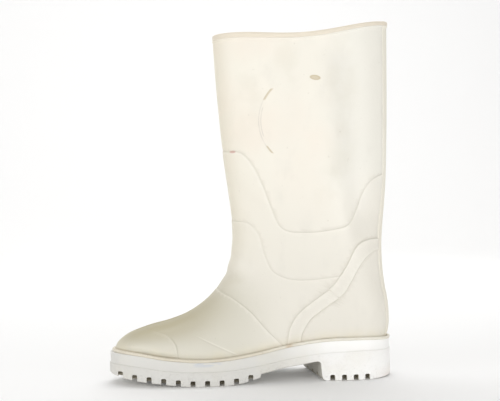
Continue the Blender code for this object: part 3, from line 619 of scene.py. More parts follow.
# Share of painted shade, with dust, on faces of the breast that turn towards the toe under the arch
breast_shade_shares = [
    np.interp(-f.normal.x, BREAST_FACING, (0, 1))
    * (f.center.x > BREAST_SHADE_FROM and f.center.z < BREAST_SHADE_BELOW)
    for f in outsole.data.polygons
]
outsole.data.attributes.new("breast", "FLOAT", "FACE").data.foreach_set("value", breast_shade_shares)
soften(outsole.data, SOLE_CREASE)
sole_x, sole_y, sole_z = point_places(outsole.data).T
sole_stations = np.clip(sole_x + ORIGIN_STATION, 0, SOLE_LENGTH)
above_step = sole_z - sole_height("step", sole_stations)
sole_depths = [
    side * (np.interp(sole_stations, *outline(EDGE_TURNS, side)) - sole_y) for side in SIDES
]
store(outsole.data, "rough_band", above_step < ROUGH_BELOW)
# A thin line on the bevel over the step, for its dust and painted shade
store(outsole.data, "step_line", np.exp(-(((above_step - STEP_LINE_RISE) / STEP_LINE_HALF) ** 2)))
store(outsole.data, "above_tread", sole_z - tread_height(sole_stations))
store(outsole.data, "depth", np.clip(np.min(sole_depths, axis=0), 0, None))
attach(outsole, "root")
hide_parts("outsole")

# Insole
# A loose sock of grey-cream needle felt, stamped from sheet and laid on the sole inside the boot.
# Nothing fixes it, and its solid shows as it is.

FELT_CREAM = (0.50, 0.46, 0.38, 1)
FELT_DARK = (0.27, 0.24, 0.19, 1)

felt_finish = Finish("insole_felt_cream")
felt_fibres = felt_finish.noise(900, 5, (1, 2.5, 1))
felt_stains = felt_finish.noise(22, 3).step(0.40, 0.68)
felt_colour = (0.35 * felt_fibres + 0.35 * felt_stains).tint(FELT_CREAM, FELT_DARK)
felt_finish.feed("Base Color", felt_colour)
felt_finish.feed("Roughness", 0.95)
felt_finish.feed("Sheen Weight", 0.25)
felt_finish.bump(felt_fibres, 0.5 * MM)
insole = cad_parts["insole"]
insole.data.materials.clear()
insole.data.materials.append(felt_finish.material)

# Upper
# Foot and shaft are one hollow shot of cream PVC over a last. Toe cap, vamp, ankle, quarter, heel band and
# back strip are steps in its wall, and the collar ends in a thick lip over a thin bead.

LAST_COLUMNS = "foot foot_z front front_z half widest rise full ridge dip"
ON_RIM = None
LAST_TABLE = (
    (4.0, ON_RIM, 4.0, 33.7, 0, 0.00, 1.00, 2.00, -9.0, 0),
    (6.5, ON_RIM, 4.4, 35.6, 9.5, 0.00, 1.05, 2.00, -9.0, 0),
    (11, ON_RIM, 5.8, 37.8, 16, 0.00, 1.15, 2.05, -9.0, 0),
    (17, ON_RIM, 8.8, 41.1, 22.5, 0.00, 1.35, 2.10, -8.9, 0),
    (25, ON_RIM, 13.3, 45.2, 28, 0.00, 1.65, 2.20, -8.7, 0),
    (34, ON_RIM, 20.4, 49.8, 33, 0.00, 1.95, 2.30, -8.3, 0),
    (45, ON_RIM, 31.2, 54.0, 37.5, 0.00, 2.20, 2.35, -7.8, 0),
    (58, ON_RIM, 46.2, 58.8, 41.5, 0.00, 2.30, 2.30, -7.0, 0),
    (73, ON_RIM, 62.2, 63.5, 45, 0.00, 2.25, 2.20, -6.0, 0),
    (90, ON_RIM, 80.2, 70.0, 47.5, 0.00, 2.10, 2.10, -5.0, 0),
    (108, ON_RIM, 96.3, 79.5, 48.8, 0.00, 1.98, 2.00, -4.0, 0),
    (128, ON_RIM, 109.8, 91.2, 48.5, 0.01, 1.92, 1.95, -3.0, 0),
    (150, ON_RIM, 119.5, 104.5, 46.0, 0.04, 1.92, 1.92, -2.0, 0),
    (176, ON_RIM, 126.4, 118.5, 42.5, 0.10, 1.96, 1.96, -1.4, 0),
    (204, ON_RIM, 129.8, 132.5, 39.6, 0.19, 2.04, 2.04, -1.0, 0),
    (234, ON_RIM, 131.7, 145.5, 38.6, 0.28, 2.12, 2.12, -0.6, 0),
    (262, ON_RIM, 132.3, 156.5, 38.2, 0.35, 2.25, 2.30, -0.3, 0),
    (284, ON_RIM, 131.7, 166.5, 38.0, 0.39, 2.30, 2.45, 0, 0),
    (294, ON_RIM, 130.7, 175, 38.0, 0.42, 2.30, 2.50, 0, 0),
    (297.0, ON_RIM, 129.7, 183.5, 38.0, 0.43, 2.30, 2.50, 0, 0),
    (297.7, 46.5, 128.7, 191, 38.1, 0.44, 2.30, 2.50, 0, 0),
    (299.2, 60, 127.6, 199.5, 38.3, 0.44, 2.30, 2.45, 0, 0),
    (298.0, 80, 126.4, 208.5, 38.7, 0.44, 2.30, 2.40, 0, 0),
    (294.8, 98, 125.0, 218.5, 39.3, 0.45, 2.30, 2.30, 0, 0),
    (292.5, 118, 123.5, 230, 40.0, 0.45, 2.30, 2.25, 0, 0),
    (291.8, 141, 121.8, 243.5, 40.8, 0.45, 2.30, 2.22, 0, 0),
    (293.5, 164, 119.9, 260, 41.4, 0.46, 2.25, 2.20, 0, 0),
    (296.6, 192, 118.1, 280, 42.0, 0.47, 2.20, 2.20, 0, 0),
    (298.9, 222, 116.4, 300, 42.4, 0.48, 2.20, 2.18, 0, 0),
    (300.0, 256, 115.0, 319, 42.6, 0.49, 2.15, 2.15, 0, 0),
    (300.7, 294, 114.0, 335, 42.8, 0.50, 2.15, 2.12, 0, 0.5),
    (301.0, 333, 113.4, 346, 43.0, 0.50, 2.10, 2.10, 0, 4),
    (301.2, 367, 113.0, 353.5, 43.0, 0.50, 2.10, 2.10, 0, 8),
    (301.3, 380, 112.8, 366.5, 43.0, 0.50, 2.10, 2.10, 0, 8),
)
UPPER_LIFT = 0.5 * MM
WALL = 2.7 * MM
LEDGE_TOE, LEDGE_HEEL = 4.0 * MM, 3.0 * MM
HEEL_FADE = 90 * MM
UPPER_ROWS, UPPER_COLUMNS = 150, 54
SECTION_STEPS = 240
ALL_TURNS = np.linspace(0, math.pi, 600)


def ledge(station):
    """How far the upper stands in from the sole's edge."""
    return LEDGE_TOE + (LEDGE_HEEL - LEDGE_TOE) * station / SOLE_LENGTH


FEET = {side: outline(ALL_TURNS, side, -ledge(station_of(ALL_TURNS))) for side in SIDES}


def upper_foot(station, side):
    """Where the foot of the upper's wall lies across the boot at a station."""
    return np.interp(station, *FEET[side])


LAST_ROWS = np.arange(len(LAST_TABLE))
FOOT_Z = LAST_COLUMNS.split().index("foot_z")
HEEL_ROW = max(i for i, row in enumerate(LAST_TABLE) if row[FOOT_Z] is ON_RIM)
UNITS = dict(foot=MM, front=MM, front_z=MM, half=MM, widest=1, rise=1, full=1, ridge=MM, dip=MM)
LAST = {name: column(LAST_COLUMNS, LAST_TABLE, name) * unit for name, unit in UNITS.items()}
LAST["foot_z"] = np.array(
    [
        sole_height("rim", station) + UPPER_LIFT if row[FOOT_Z] is ON_RIM else row[FOOT_Z] * MM
        for row, station in zip(LAST_TABLE, LAST["foot"])
    ]
)


def back_at(height):
    """Station of the back of the heel and shaft at a height."""
    return smooth(LAST["foot_z"][HEEL_ROW:], LAST["foot"][HEEL_ROW:], height)


def heel_round(from_back, height, half, full, end):
    """Half widths of the round at the back, which is the sole's own outline near the sole."""
    share = np.clip(from_back / end, 0, 1)
    oval = half * (1 - (1 - share) ** full) ** (1 / full)
    station = LAST["foot"][HEEL_ROW] - np.maximum(from_back, 0)
    on_sole = (upper_foot(station, OUTER) - upper_foot(station, INNER)) / 2
    near_sole = np.clip(1 - (height - LAST["foot_z"][HEEL_ROW]) / HEEL_FADE, 0, 1)
    return oval + (on_sole - oval) * (1 - share**2) * near_sole**2 * (3 - 2 * near_sole)


def half_section(at, side):
    """One side of the section at a place along the last, from its foot to its front."""
    row = {name: float(smooth(LAST_ROWS, values, at)) for name, values in LAST.items()}
    on_rim = at <= HEEL_ROW
    foot_z = float(sole_height("rim", row["foot"]) + UPPER_LIFT) if on_rim else row["foot_z"]
    feet = [float(upper_foot(row["foot"], s)) if at < HEEL_ROW else 0.0 for s in SIDES]
    middle, foot_half = sum(feet) / 2, (feet[1] - feet[0]) / 2
    half = max(row["half"], foot_half, TINY)
    widest, full = max(row["widest"], TINY), max(row["full"], 1.0)
    way = (1 - np.cos(np.linspace(0, math.pi, SECTION_STEPS))) / 2
    length = row["foot"] - row["front"]
    station = row["foot"] - length * way
    height = foot_z + (row["front_z"] - foot_z) * way - row["dip"] * np.sin(math.pi * way) ** 2
    past_foot = max(LAST["foot"][HEEL_ROW] - row["foot"], 0) if on_rim else 0.0
    from_back = past_foot + length * way + back_at(height) - back_at(foot_z)
    ahead = np.clip((way - widest) / (1 - widest), 0, 1) ** row["rise"]
    spread = heel_round(from_back, height, half, full, past_foot + length * widest)
    spread = spread * (1 - ahead) ** (1 / full)
    to_foot = (foot_half - spread[0]) * np.clip(1 - way / widest, 0, 1) ** full
    across = middle + (row["ridge"] - middle) * way + side * (spread + to_foot)
    return np.stack([station, across, height], axis=1)


BEND_WEIGHT, LEAST_BEND = 0.8, 0.3


def spaced(points, count):
    """Points along a line, spread by its length and by how much it turns."""
    steps = np.diff(points, axis=0)
    length = np.linalg.norm(steps, axis=1)
    if length.sum() < TINY:
        return np.repeat(points[:1], count, axis=0)
    heading = steps / np.maximum(length, TINY * TINY)[:, None]
    bend = np.arccos(np.clip((heading[1:] * heading[:-1]).sum(1), -1, 1))
    bend = np.concatenate([[0], bend])
    share = length / length.sum() + BEND_WEIGHT * bend / max(bend.sum(), LEAST_BEND)
    travel = np.concatenate([[0], np.cumsum(share)])
    wanted = np.linspace(0, travel[-1], count)
    return np.stack([np.interp(wanted, travel, points[:, k]) for k in range(3)], axis=1)


def section(at, columns):
    """A whole section, from the inner foot over the front to the outer foot."""
    inner, outer = (spaced(half_section(at, side), columns + 1) for side in SIDES)
    return np.concatenate([inner, outer[-2::-1]])


RIM_COLUMNS = "drop raise"
RIM_TABLE = (
    (7.0, 0.0),
    (6.6, 0.15),
    (6.2, 0.75),
    (5.6, 1.0),
    (5.0, 0.85),
    (4.6, 0.45),
    (4.2, 0.85),
    (3.6, 1.0),
    (1.4, 1.0),
    (0.6, 0.75),
    (0.15, 0.35),
    (0.0, 0.0),
)
ROWS_APART = 0.16
TOE_ROWS = (0.0, 0.3, 0.6, 1.0, 1.5, 2.0)


def travel_of(places):
    """How far each place along the last has come, by its foot and its front together."""
    lines = [
        np.stack([smooth(LAST_ROWS, LAST[n], places), smooth(LAST_ROWS, LAST[n + "_z"], places)], 1)
        for n in ("foot", "front")
    ]
    steps = sum(np.linalg.norm(np.diff(line, axis=0), axis=1) for line in lines) / 2
    return np.concatenate([[0], np.cumsum(steps)])


DENSE_PLACES = np.linspace(0, LAST_ROWS[-1], 2000)
DENSE_TRAVEL = travel_of(DENSE_PLACES)


def below_collar(drop):
    """Places along the last that lie some way below the collar."""
    return np.interp(DENSE_TRAVEL[-1] - drop, DENSE_TRAVEL, DENSE_PLACES)


RIM_PLACES = below_collar(column(RIM_COLUMNS, RIM_TABLE, "drop") * MM)


def row_places(count):
    """Places along the last for rows: even steps between those of the toe, heel and collar."""
    fixed = np.concatenate([TOE_ROWS, [HEEL_ROW], RIM_PLACES])
    even = np.interp(np.linspace(0, DENSE_TRAVEL[-1], count), DENSE_TRAVEL, DENSE_PLACES)
    apart = [at for at in even if np.abs(fixed - at).min() > ROWS_APART and at < RIM_PLACES[0]]
    return np.sort(np.concatenate([fixed, apart]))


ANKLE_LINE = (
    (100, 242), (126, 242), (140, 240.5), (151, 228.5), (161, 209), (170, 185), (178.5, 165),
    (188, 158), (202, 156.5), (220, 157), (238, 159.5), (249, 162), (256, 167), (262.5, 179),
    (268.5, 195), (277.5, 208.5), (291, 216), (310, 218),
)
QUARTER_LINE = (
    (105, 169), (133, 168.5), (148, 166), (158, 154), (162.5, 137), (170, 118.5), (180, 111),
    (193, 107.2), (212, 106.8), (240, 109.5), (262, 111),
)
BAND_TOP_LINE = {
    INNER: (
        (310, 149), (291, 148.3), (273, 147), (260.5, 140), (250.5, 122.5), (241, 108),
        (230.5, 96.5), (214, 84.5), (198.5, 72), (189, 57), (186, 41), (185.5, 20),
    ),
    OUTER: (
        (310, 149), (291, 148.3), (276, 146), (265, 138), (256, 121), (246.5, 104),
        (234, 91), (217, 79.5), (201, 69), (190.5, 56), (186.5, 41), (186, 20),
    ),
}
BAND_FOOT_LINE = {
    INNER: (
        (310, 138), (289, 136.6), (276, 132.5), (264.5, 120.5), (254, 103.5), (244.5, 90),
        (224, 75.5), (211, 65.5), (203, 53), (200.5, 43), (200, 20),
    ),
    OUTER: (
        (310, 138), (289, 136.6), (278.5, 132), (268.5, 118), (259.5, 99), (248, 84.5),
        (230, 72.5), (214, 63.5), (204.5, 52.5), (201, 43), (200.5, 20),
    ),
}
VAMP_LINE = ((92, 118), (115.5, 96), (130, 88), (148, 74), (163, 56.5), (180, 39), (190, 25))
TOE_CAP_LINE = ((20, 64), (36, 57), (52, 53.5), (63, 50), (69.5, 42), (71.3, 32), (71.8, 15))
TOE_CAP_FADE = (44 * MM, 64 * MM)
ANKLE_RAISE, QUARTER_RAISE, BAND_RAISE = 0.6 * MM, 0.5 * MM, 0.9 * MM
VAMP_RAISE, TOE_CAP_RAISE = 0.5 * MM, 1.0 * MM
LOWEST_PANEL = ANKLE_RAISE + QUARTER_RAISE
BACK_STRIP_HALF, BACK_STRIP_REACH = 17 * MM, 22.5 * MM
BACK_STRIP_RUN = (150 * MM, 230 * MM)
BACK_STRIP_RAISES = (2.3 * MM, 0.9 * MM)
EDGE_HALF = 0.4 * MM
SCORES = (-0.85 * MM, -EDGE_HALF, 0.0, EDGE_HALF, 0.85 * MM)
SCORE_REACH = 9 * MM
SCORE_SLACK = 0.12 * MM
LINE_HALF = 0.6 * MM
# How far up the raised side of a step its line of wear and painted highlight lies
WEAR_HIGHLIGHT_OFF = 1.1 * MM
SNAP = 0.15
RAISE_FADE = (4 * MM, 8 * MM)
STEPS_PER_KNOT = 6
SIDE_VIEW = [0, 2]


def distance_to(line, points):
    """Signed distance in side view from points to a line: positive on its left."""
    knots = np.array(line, float) * MM
    places = np.arange(len(knots))
    fine = np.linspace(0, places[-1], STEPS_PER_KNOT * len(knots))
    path = np.stack([smooth(places, knots[:, k], fine) for k in range(2)], axis=1)
    start, run = path[:-1], np.diff(path, axis=0)
    reach = points[:, SIDE_VIEW][:, None, :] - start[None]
    t = np.clip((reach * run).sum(2) / (run * run).sum(1), 0, 1)
    off = reach - t[..., None] * run
    nearest = (off * off).sum(2).argmin(1)
    pick = np.arange(len(points))
    off, run = off[pick, nearest], run[nearest]
    turned = run[:, 0] * off[:, 1] - run[:, 1] * off[:, 0]
    return np.hypot(off[:, 0], off[:, 1]) * np.where(turned < 0, -1, 1)


def ridge_at(station):
    """Where the ridge of the foot lies across the boot at a station."""
    return np.interp(station, LAST["front"][: HEEL_ROW + 1], LAST["ridge"][: HEEL_ROW + 1])


def either_side(lines, points):
    """Distance to a line that runs differently on the two sides of the boot."""
    inner, outer = (distance_to(lines[s], points) for s in SIDES)
    return np.where(points[:, 1] < ridge_at(points[:, 0]), inner, outer)


def below_ankle(points):
    """Below the edge of the ankle panel."""
    return -distance_to(ANKLE_LINE, points)


def below_band_top(points):
    """Behind and below the upper edge of the heel band."""
    return either_side(BAND_TOP_LINE, points)


def on_quarter(points):
    """Below the quarter line, and behind the end of that line below the top of the band."""
    return np.maximum(-distance_to(QUARTER_LINE, points), below_band_top(points))


def above_band_foot(points):
    """Before and above the lower edge of the heel band."""
    return -either_side(BAND_FOOT_LINE, points)


def before_vamp(points):
    """On the toe's side of the vamp's edge."""
    return -distance_to(VAMP_LINE, points)


def on_toe_cap(points):
    """On the toe's side of the cap's edge, and below it."""
    return -distance_to(TOE_CAP_LINE, points)


def cap_share(points):
    """How much of the cap's edge shows at each point: none over the toe, where it fades."""
    start, end = TOE_CAP_FADE
    return np.clip((points[:, 0] - start) / (end - start), 0, 1)


def on_back_strip(points):
    """On the strip that runs up the middle of the back, over the ends of the other panels."""
    near = points[:, 0] > back_at(points[:, 2]) - BACK_STRIP_REACH
    return np.where(near, BACK_STRIP_HALF - np.abs(points[:, 1]), -BACK_STRIP_HALF)


PANEL_EDGES = (
    below_ankle, on_quarter, below_band_top, above_band_foot, before_vamp, on_toe_cap, on_back_strip,
)


def panel_steps(points):
    """How far each point lies inside each panel, and its share of the step up to that panel."""
    fields, step = {}, {}
    for edge in PANEL_EDGES:
        fields[edge] = edge(points)
        share = np.clip((fields[edge] + EDGE_HALF) / (2 * EDGE_HALF), 0, 1)
        step[edge] = share * share * (3 - 2 * share)
    step[on_toe_cap] = np.maximum(step[on_toe_cap], 1 - cap_share(points))
    return fields, step


def panel_raise(points, step):
    """How far each point of the upper's skin stands out from the last."""
    panels = (
        ANKLE_RAISE * step[below_ankle]
        + QUARTER_RAISE * step[on_quarter]
        + BAND_RAISE * np.minimum(step[below_band_top], step[above_band_foot])
        + VAMP_RAISE * step[before_vamp]
        + TOE_CAP_RAISE * step[on_toe_cap]
    )
    strip = np.interp(points[:, 2], BACK_STRIP_RUN, BACK_STRIP_RAISES)
    total = panels + (strip - panels) * step[on_back_strip] - LOWEST_PANEL
    above = points[:, 2] - sole_height("rim", points[:, 0])
    return total * np.clip((above - RAISE_FADE[0]) / (RAISE_FADE[1] - RAISE_FADE[0]), 0, 1)


LINE_SHARES = {
    below_ankle: 1.0, on_quarter: 0.7, below_band_top: 1.0, above_band_foot: 0.9, before_vamp: 0.8,
    on_toe_cap: 0.35, on_back_strip: 0.6,
}


def edge_marks(points, fields, step, off):
    """How strongly each point is marked by a panel's edge at an offset from it, clear of the strip."""
    marks = []
    for edge, share in LINE_SHARES.items():
        bare = 1 - step[on_back_strip] if edge is not on_back_strip else 1.0
        bare = bare * cap_share(points) if edge is on_toe_cap else bare
        marks.append(share * bare * np.exp(-(((fields[edge] - off) / LINE_HALF) ** 2)))
    return np.max(marks, axis=0)


BOTH = 0
CREASES = (
    (BOTH, 0.6, 4.0, ((93, 53), (104, 48), (115, 43), (128, 35))),
    (BOTH, 0.9, 5.0, ((118, 112), (131, 112.5), (142, 109), (150, 103))),
    (BOTH, 0.6, 6.0, ((122, 131), (134, 129), (146, 122.5))),
    (BOTH, -0.5, 5.5, ((118, 121), (132, 121), (145, 115.5))),
    (INNER, 2.9, 16.0, ((268, 160), (262, 190), (256, 225), (250, 285), (247, 338))),
    (INNER, 0.5, 14.0, ((185, 330), (190, 290), (188, 250))),
    (OUTER, 0.8, 11.0, ((243, 180), (246, 240), (243, 320))),
    (OUTER, 0.5, 12.0, ((178, 335), (184, 285), (180, 250))),
    (BOTH, 0.5, 7.0, ((283, 172), (262, 150), (246, 136), (226, 128))),
    (BOTH, 0.4, 6.0, ((140, 205), (156, 186), (166, 170))),
)
CREASE_EASE = 9 * MM
DEEPEST_CREASE = 3 * MM


def crease_depth(points):
    """How far the soft creases of wear draw the skin in."""
    total = np.zeros(len(points))
    off_ridge = points[:, 1] - ridge_at(points[:, 0])
    for side, depth, width, line in CREASES:
        trough = np.exp(-((distance_to(line, points) / (width * MM)) ** 2))
        on_side = np.clip(side * off_ridge / CREASE_EASE, 0, 1) if side else 1.0
        total += depth * MM * trough * on_side
    return total


def places_of(vertices):
    """Places of mesh points as stations, as an array."""
    return np.array([v.co for v in vertices], float)


def points_of(bm, skin):
    """Points of the outer skin, in the order of its faces."""
    return list(dict.fromkeys(v for f in bm.faces if f[skin] for v in f.verts))


def crosses(edge, near, level):
    """Whether an edge of the mesh crosses a level, clear of its own ends."""
    before, after = (near[v] - level for v in edge.verts)
    return before * after < 0 and min(abs(before), abs(after)) > TINY


def score(bm, skin, scored, edge):
    """Cuts the skin along lines beside a panel's edge, so that the mesh follows its step."""
    points = points_of(bm, skin)
    values = edge(places_of(points))
    near = {v: value for v, value in zip(points, values) if abs(value) < SCORE_REACH}
    for level in SCORES:
        for vertex, value in near.items():
            if vertex[scored] and abs(value - level) < SCORE_SLACK:
                near[vertex] = level
        faces = [f for f in dict.fromkeys(f for v in near for f in v.link_faces) if f[skin]]
        bmesh.ops.triangulate(bm, faces=[f for f in faces if len(f.verts) > 3])
        edges = dict.fromkeys(e for v in near for e in v.link_edges if e.other_vert(v) in near)
        crossing = [e for e in edges if crosses(e, near, level)]
        for e in crossing:
            a, b = e.verts
            if (near[a] - level) * (near[b] - level) >= 0:
                continue
            share = (near[a] - level) / (near[a] - near[b])
            end = a if share < SNAP else b if share > 1 - SNAP else None
            if end is not None and end[scored] == 0 and all(f[skin] for f in end.link_faces):
                end.co = a.co.lerp(b.co, share)
                end[scored] = 1
                near[end] = level
        for e in crossing:
            if crosses(e, near, level):
                a, b = e.verts
                before, after = near[a] - level, near[b] - level
                new = bmesh.utils.edge_split(e, a, before / (before - after))[1]
                new[scored] = 1
                near[new] = level
        faces = dict.fromkeys(f for v in near for f in v.link_faces if f[skin])
        for face in faces:
            ends = [v for v in face.verts if v in near and abs(near[v] - level) < TINY]
            if len(ends) == 2 and not any(ends[1] in e.verts for e in ends[0].link_edges):
                bmesh.utils.face_split(face, *ends)


def grid_faces(bm, rows, flip):
    """Quads between rows of points, leaving out corners that coincide."""
    made = []
    for low, high in zip(rows, rows[1:]):
        for j in range(len(low) - 1):
            corners = list(dict.fromkeys((low[j], low[j + 1], high[j + 1], high[j])))
            if len(corners) > 2:
                made.append(bm.faces.new(corners[::-1] if flip else corners))
    return made


def row_points(bm, points, closed, pole):
    """Points of one row: a pole is one point, and a closed row ends where it began."""
    if pole:
        return [bm.verts.new(points[0])] * len(points)
    made = [bm.verts.new(p) for p in points[:-1]]
    return made + [made[0] if closed else bm.verts.new(points[-1])]


def skin_rows(bm, places, columns):
    """Rows of points over the last."""
    return [
        row_points(bm, section(at, columns), closed=at >= HEEL_ROW, pole=at == 0) for at in places
    ]


def drawn_in(vertex, distance, level):
    """The place at a distance inside the skin, moved level where the wall stands on the sole or ends."""
    inward = -vertex.normal
    above_foot = vertex.co.z - float(sole_height("rim", vertex.co.x)) - UPPER_LIFT
    inward.z *= 0 if level else min(above_foot / (2 * distance), 1)
    return vertex.co + distance * inward.normalized()


def in_frame(bm):
    """Moves a mesh from stations to the boot's frame."""
    bmesh.ops.translate(bm, verts=bm.verts[:], vec=(-ORIGIN_STATION, 0, 0))


SKIN_MARKS = (
    "collar", "line_dirt_and_shade", "line_wear_and_highlight", "above_welt", "facing_up", "facing_front", "back_strip", "in_crease",
)


def wall_of(bm, places, skin):
    """Both skins of the wall, joined at the collar and along the sole: gives rows of the outer one."""
    outer = skin_rows(bm, places, UPPER_COLUMNS)
    for face in grid_faces(bm, outer, flip=True):
        face[skin] = 1
    bm.normal_update()
    ends = set(outer[-1])
    twin = {}
    whole = list(dict.fromkeys(v for row in outer for v in row))
    for vertex, crease in zip(whole, crease_depth(places_of(whole))):
        twin[vertex] = bm.verts.new(drawn_in(vertex, WALL + float(crease), vertex in ends))
    grid_faces(bm, [[twin[v] for v in row] for row in outer], flip=False)
    standing = [row for at, row in zip(places, outer) if at <= HEEL_ROW]
    for edge in (outer[-1], [row[0] for row in standing], [row[-1] for row in standing]):
        grid_faces(bm, [edge, [twin[v] for v in edge]], flip=False)
    bmesh.ops.recalc_face_normals(bm, faces=bm.faces[:])
    bm.normal_update()
    return outer


def upper_mesh():
    """The hollow upper, with panels, creases and collar in its outer skin, and the line up its front."""
    places = row_places(UPPER_ROWS)
    bm = bmesh.new()
    skin = bm.faces.layers.int.new("skin")
    scored = bm.verts.layers.int.new("scored")
    marks = {name: bm.verts.layers.float.new(name) for name in SKIN_MARKS}
    lip = bm.verts.layers.float.new("lip_raise")
    outer = wall_of(bm, places, skin)
    raises = column(RIM_COLUMNS, RIM_TABLE, "raise") * MM
    shares = np.linspace(0, 1, len(raises))
    for at, row in zip(places, outer):
        if at >= RIM_PLACES[0]:
            for vertex in row:
                vertex[lip] = float(np.interp(at, RIM_PLACES, raises))
                vertex[marks["collar"]] = float(np.interp(at, RIM_PLACES, shares))
    for edge in PANEL_EDGES:
        score(bm, skin, scored, edge)
    bm.normal_update()
    points = points_of(bm, skin)
    spots = places_of(points)
    fields, step = panel_steps(spots)
    creases = crease_depth(spots)
    lifts = panel_raise(spots, step) - creases + np.array([v[lip] for v in points])
    directions = []
    for vertex in points:
        faces = [f for f in vertex.link_faces if f[skin]]
        directions.append(sum((f.normal * f.calc_area() for f in faces), Vector()).normalized())
    values = {
        # Painted shade with dirt at the foot of each step, and a painted highlight with wear on its raised
        # side
        "line_dirt_and_shade": edge_marks(spots, fields, step, -EDGE_HALF),
        "line_wear_and_highlight": edge_marks(spots, fields, step, WEAR_HIGHLIGHT_OFF),
        "above_welt": spots[:, 2] - sole_height("rim", np.clip(spots[:, 0], 0, SOLE_LENGTH)),
        "facing_up": [max(d.z, 0.0) for d in directions],
        "facing_front": [max(-d.x, 0.0) ** 2 for d in directions],
        "back_strip": step[on_back_strip],
        "in_crease": creases / DEEPEST_CREASE,
    }
    for i, vertex in enumerate(points):
        vertex.co += float(lifts[i]) * directions[i]
        for name, given in values.items():
            vertex[marks[name]] = float(given[i])
    for face in bm.faces:
        face.smooth = True
    in_frame(bm)
    return bm, [row[UPPER_COLUMNS].co.copy() for row in outer]


upper_bm, front_path = upper_mesh()
upper = piece_of("upper_moulding", upper_bm)

UPPER_CREAM = (0.860, 0.828, 0.742, 1)
UPPER_PINK = (0.870, 0.790, 0.695, 1)
UPPER_COOL = (0.845, 0.832, 0.765, 1)
UPPER_SMUDGE = (0.60, 0.56, 0.44, 1)
UPPER_OLIVE_SHADE = (0.34, 0.29, 0.145, 1)
UPPER_VAMP_TONE_AND_SHADE = (0.66, 0.638, 0.55, 1)
UPPER_YELLOW = (0.78, 0.72, 0.55, 1)
UPPER_GREY = (0.60, 0.58, 0.53, 1)
UPPER_WORN_HIGHLIGHT = (0.90, 0.87, 0.79, 1)
COLLAR_YELLOW = (0.77, 0.695, 0.575, 1)
LINE_BROWN = (0.40, 0.36, 0.28, 1)
WELT_DIRT = (0.45, 0.39, 0.29, 1)
MARK_TAN = (0.52, 0.42, 0.24, 1)
SCUFF_GREY = (0.42, 0.40, 0.36, 1)
MARK_RED = (0.55, 0.22, 0.19, 1)
OUTER_RED = (0.58, 0.33, 0.25, 1)
OUTER_INK = (0.09, 0.08, 0.12, 1)

SCUFF_STATION, SCUFF_HEIGHT = 207.8 * MM, 273.5 * MM
ARC_EASE, ARC_CORE = 2, 0.3

upper_finish = Finish("upper_pvc_cream")
on_inner = upper_finish.y.step(0, -6 * MM)
on_outer = upper_finish.y.step(0, 6 * MM)
on_station = upper_finish.x + ORIGIN_STATION
up = upper_finish.z


def oval_mark(station, height, long, tall, soft, lean=0.0):
    """A mask of an oval at a place on the boot's side, that leans up towards the heel."""
    along = (on_station - station * MM) / (long * MM)
    above = (up - height * MM - (on_station - station * MM) * lean) / (tall * MM)
    return (along * along + above * above).step(1 + soft, 1 - soft)


def arc_mark(radius, width, low, high):
    """A mask of an arc on the toe's side of the scuff's middle, from a low to a high end."""
    along = on_station - SCUFF_STATION
    above = up - SCUFF_HEIGHT
    reach = (along * along + above * above) ** 0.5
    ring = abs(reach - radius * MM).step(width * MM, ARC_CORE * width * MM)
    ends = above.step(low * MM, (low + ARC_EASE) * MM) * above.step(high * MM, (high - ARC_EASE) * MM)
    return ring * ends * along.step(0, -ARC_EASE * MM)


blotches = upper_finish.noise(9, 3).step(0.40, 0.72)
specks = upper_finish.noise(210, 5).step(0.68, 0.76)
fine_dirt = upper_finish.noise(70, 6, (1, 1, 0.5)).step(0.52, 0.80)
clouds = upper_finish.noise(34, 4).step(0.38, 0.66)
pink_patches = upper_finish.noise(13, 2).step(0.40, 0.70)
streaks = upper_finish.noise(60, 4, (1, 1, 0.25)).step(0.35, 0.70)
collar_mask, line_dirt_shade_mask, line_wear_highlight_mask, above_welt, facing_up, facing_front, strip_mask, in_crease = (
    upper_finish.attribute(mark) for mark in SKIN_MARKS
)
foot_dirt = above_welt.step(16 * MM, 3 * MM)
welt_line = above_welt.step(5.0 * MM, 3.6 * MM)
on_foot = up.step(150 * MM, 85 * MM)
on_vamp = on_station.step(190 * MM, 130 * MM) * up.step(125 * MM, 75 * MM)
at_top = up.step(150 * MM, 260 * MM)
at_rear = on_station.step(215 * MM, 262 * MM) * up.step(150 * MM, 230 * MM)
low_down_shade = up.step(260 * MM, 90 * MM)
at_toe = on_station.step(190 * MM, 120 * MM)
at_cap = on_station.step(76 * MM, 68 * MM)

scuff_grain = 0.4 + 0.6 * upper_finish.noise(150, 3).step(0.36, 0.62)
scuff_arc = (arc_mark(48.9, 0.9, -34, 34) + arc_mark(46.7, 0.8, -17, 15)) * scuff_grain
arc_ends = arc_mark(48.3, 1.2, -34.5, -25) + 0.85 * arc_mark(48.3, 1.6, 21, 34.5)
tan_oval = oval_mark(218, 318, 5.6, 2.5, 0.35, -0.10)
tan_middle = oval_mark(218, 318, 4.4, 1.6, 0.40, -0.10)
red_dot = oval_mark(132, 242, 3.0, 1.3, 0.5)
instep_smudge = oval_mark(130, 109, 13, 9, 0.98)
# A painted highlight along a crease on the vamp, and a painted shadow just below it
vamp_crease_highlight = oval_mark(114.5, 40.4, 21, 0.8, 0.7, -0.48)
crease_shade = oval_mark(114.5, 38.8, 21, 0.8, 0.7, -0.48)
